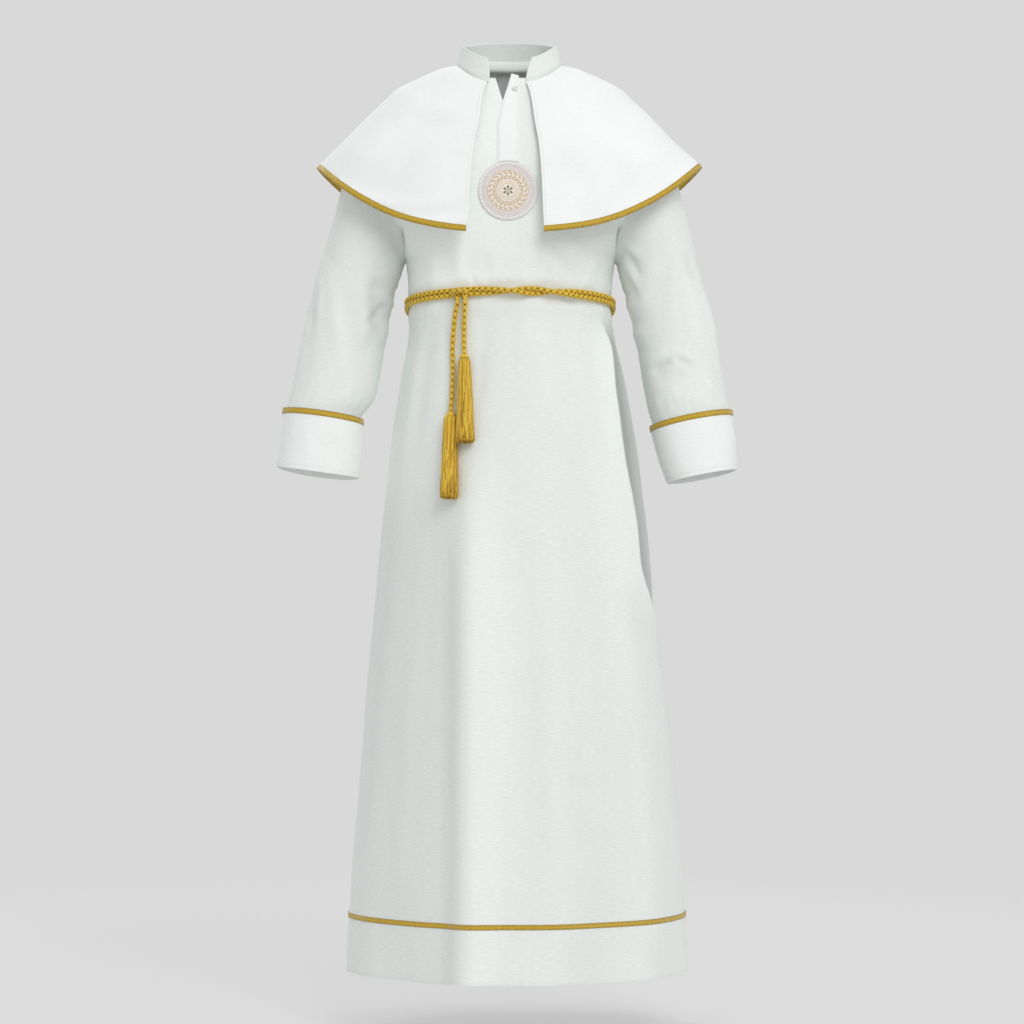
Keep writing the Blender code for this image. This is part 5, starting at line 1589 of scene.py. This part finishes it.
def makePatch(plan):
    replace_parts(patchDisc("patchGround", groundRadii, [0.0] * len(groundRadii), pinkSatin), "medallion")
    patchDisc("patchCentre", *plan["centre"], creamSatin)
    rows = [ringOfPads(plan["leaves"], radius, math.pi / 2 + slant, plan["leaf"])
            for radius, slant in plan["leafRows"]]
    patchPads("patchWreath", [leaf for pair in zip(*rows) for leaf in pair], goldSatin)
    petals = ringOfPads(plan["petals"], plan["petalRadius"], 0.0, plan["petal"], math.pi / 6)
    patchPads("patchFlower", [*petals, plan["heart"]], brownSatin)
    patchCords("patchFlowerEdge", (9.6, 12.4), goldSatin, 0.45)
    patchCords("patchWreathEdges", (16.2, 27.0), goldSatin, 0.45)
    scallops = ringOfPads(plan["scallops"], plan["scallopRadius"], 0.0, plan["scallop"])
    patchPads("patchScallops", scallops, whiteSatin)
    patchCords("patchRings", (34.4, 32.2, 30.0), greySatin, 0.36, count=160)
    patchCords("patchRim", (38.5,), whiteSatin, 0.6, count=180)


makePatch(emblemPlan)
print("alb: placket, button and patch made")


# Floor, backdrop and light

white = (1.0, 1.0, 1.0, 1.0)

stagePlan = {
    "floor": -1275.0, "middle": 300.0, "radius": 2500.0, "sides": 96,
    "whole": 1.1, "gone": 2.4,  # m from the middle: where the paper begins to fade and where it is gone
    "paper": "#8E8E8E", "glow": 0.45,  # evens out the paper, as a lit light table would
}


def addStage(plan):  # a round of pale floor paper that fades out into the studio's air
    turns = fullTurn(plan["sides"])
    points = np.stack([np.cos(turns), np.sin(turns), 0.0 * turns], axis=1) * plan["radius"] * mm
    mesh = bpy.data.meshes.new("studioFloor")
    mesh.from_pydata(points.tolist(), [], [tuple(range(plan["sides"]))])
    material, tree, shader = newMaterial("studioPaper", Roughness=0.95, Specular_IOR_Level=0.1,
                                         Base_Color=linearColour(plan["paper"]), Emission_Color=white,
                                         Emission_Strength=plan["glow"])
    place = addNode(tree, "ShaderNodeTexCoord", out="Object")
    away = addNode(tree, "ShaderNodeVectorMath", {0: place}, out="Value", operation="LENGTH")
    reach = {"Value": away, "From Min": plan["whole"], "From Max": plan["gone"]}
    fade = addNode(tree, "ShaderNodeMapRange", reach, interpolation_type="SMOOTHSTEP")
    clear = addNode(tree, "ShaderNodeBsdfTransparent")
    mixed = addNode(tree, "ShaderNodeMixShader", {0: fade, 1: shader.outputs["BSDF"], 2: clear})
    tree.links.new(mixed, tree.nodes["Material Output"].inputs["Surface"])
    mesh.materials.append(material)
    floor = addObject("studioFloor", mesh)
    floor.location = (0.0, plan["middle"] * mm, plan["floor"] * mm)


lightPlan = {
    "ahead": 0.6, "behind": 0.694,  # the air's brightness before the garment and behind it
    "turns": (-0.5, 0.6),  # the part of the air's round over which it changes
    "lamps": [
        # name, place (m), aim (m), size (m), watts
        ("keySoftbox", (1.6, -4.6, 2.9), (0.0, 0.0, -0.3), 3.2, 123.0),
        ("backSoftbox", (-1.9, 4.4, 3.2), (0.0, 0.0, -0.5), 2.8, 78.0),
    ],
}


def addLights(plan):
    world = bpy.data.worlds.new("studioAir")
    world.use_nodes = True
    tree = world.node_tree
    direction = addNode(tree, "ShaderNodeTexCoord", out="Generated")
    facing = addNode(tree, "ShaderNodeSeparateXYZ", {"Vector": direction}, out="Y")
    reach = {"Value": facing, "From Min": plan["turns"][0], "From Max": plan["turns"][1],
             "To Min": plan["ahead"], "To Max": plan["behind"]}
    background = tree.nodes["Background"]
    background.inputs["Color"].default_value = white
    tree.links.new(addNode(tree, "ShaderNodeMapRange", reach), background.inputs["Strength"])
    bpy.context.scene.world = world
    for name, place, aim, size, watts in plan["lamps"]:
        data = bpy.data.lights.new(name, "AREA")
        data.shape = "DISK"
        data.size = size
        data.energy = watts
        lamp = addObject(name, data)
        lamp.location = place
        lamp.rotation_euler = (Vector(place) - Vector(aim)).to_track_quat("Z", "Y").to_euler()


addStage(stagePlan)
addLights(lightPlan)
bpy.context.scene.view_settings.view_transform = "Standard"
print("alb: stage and lights made")
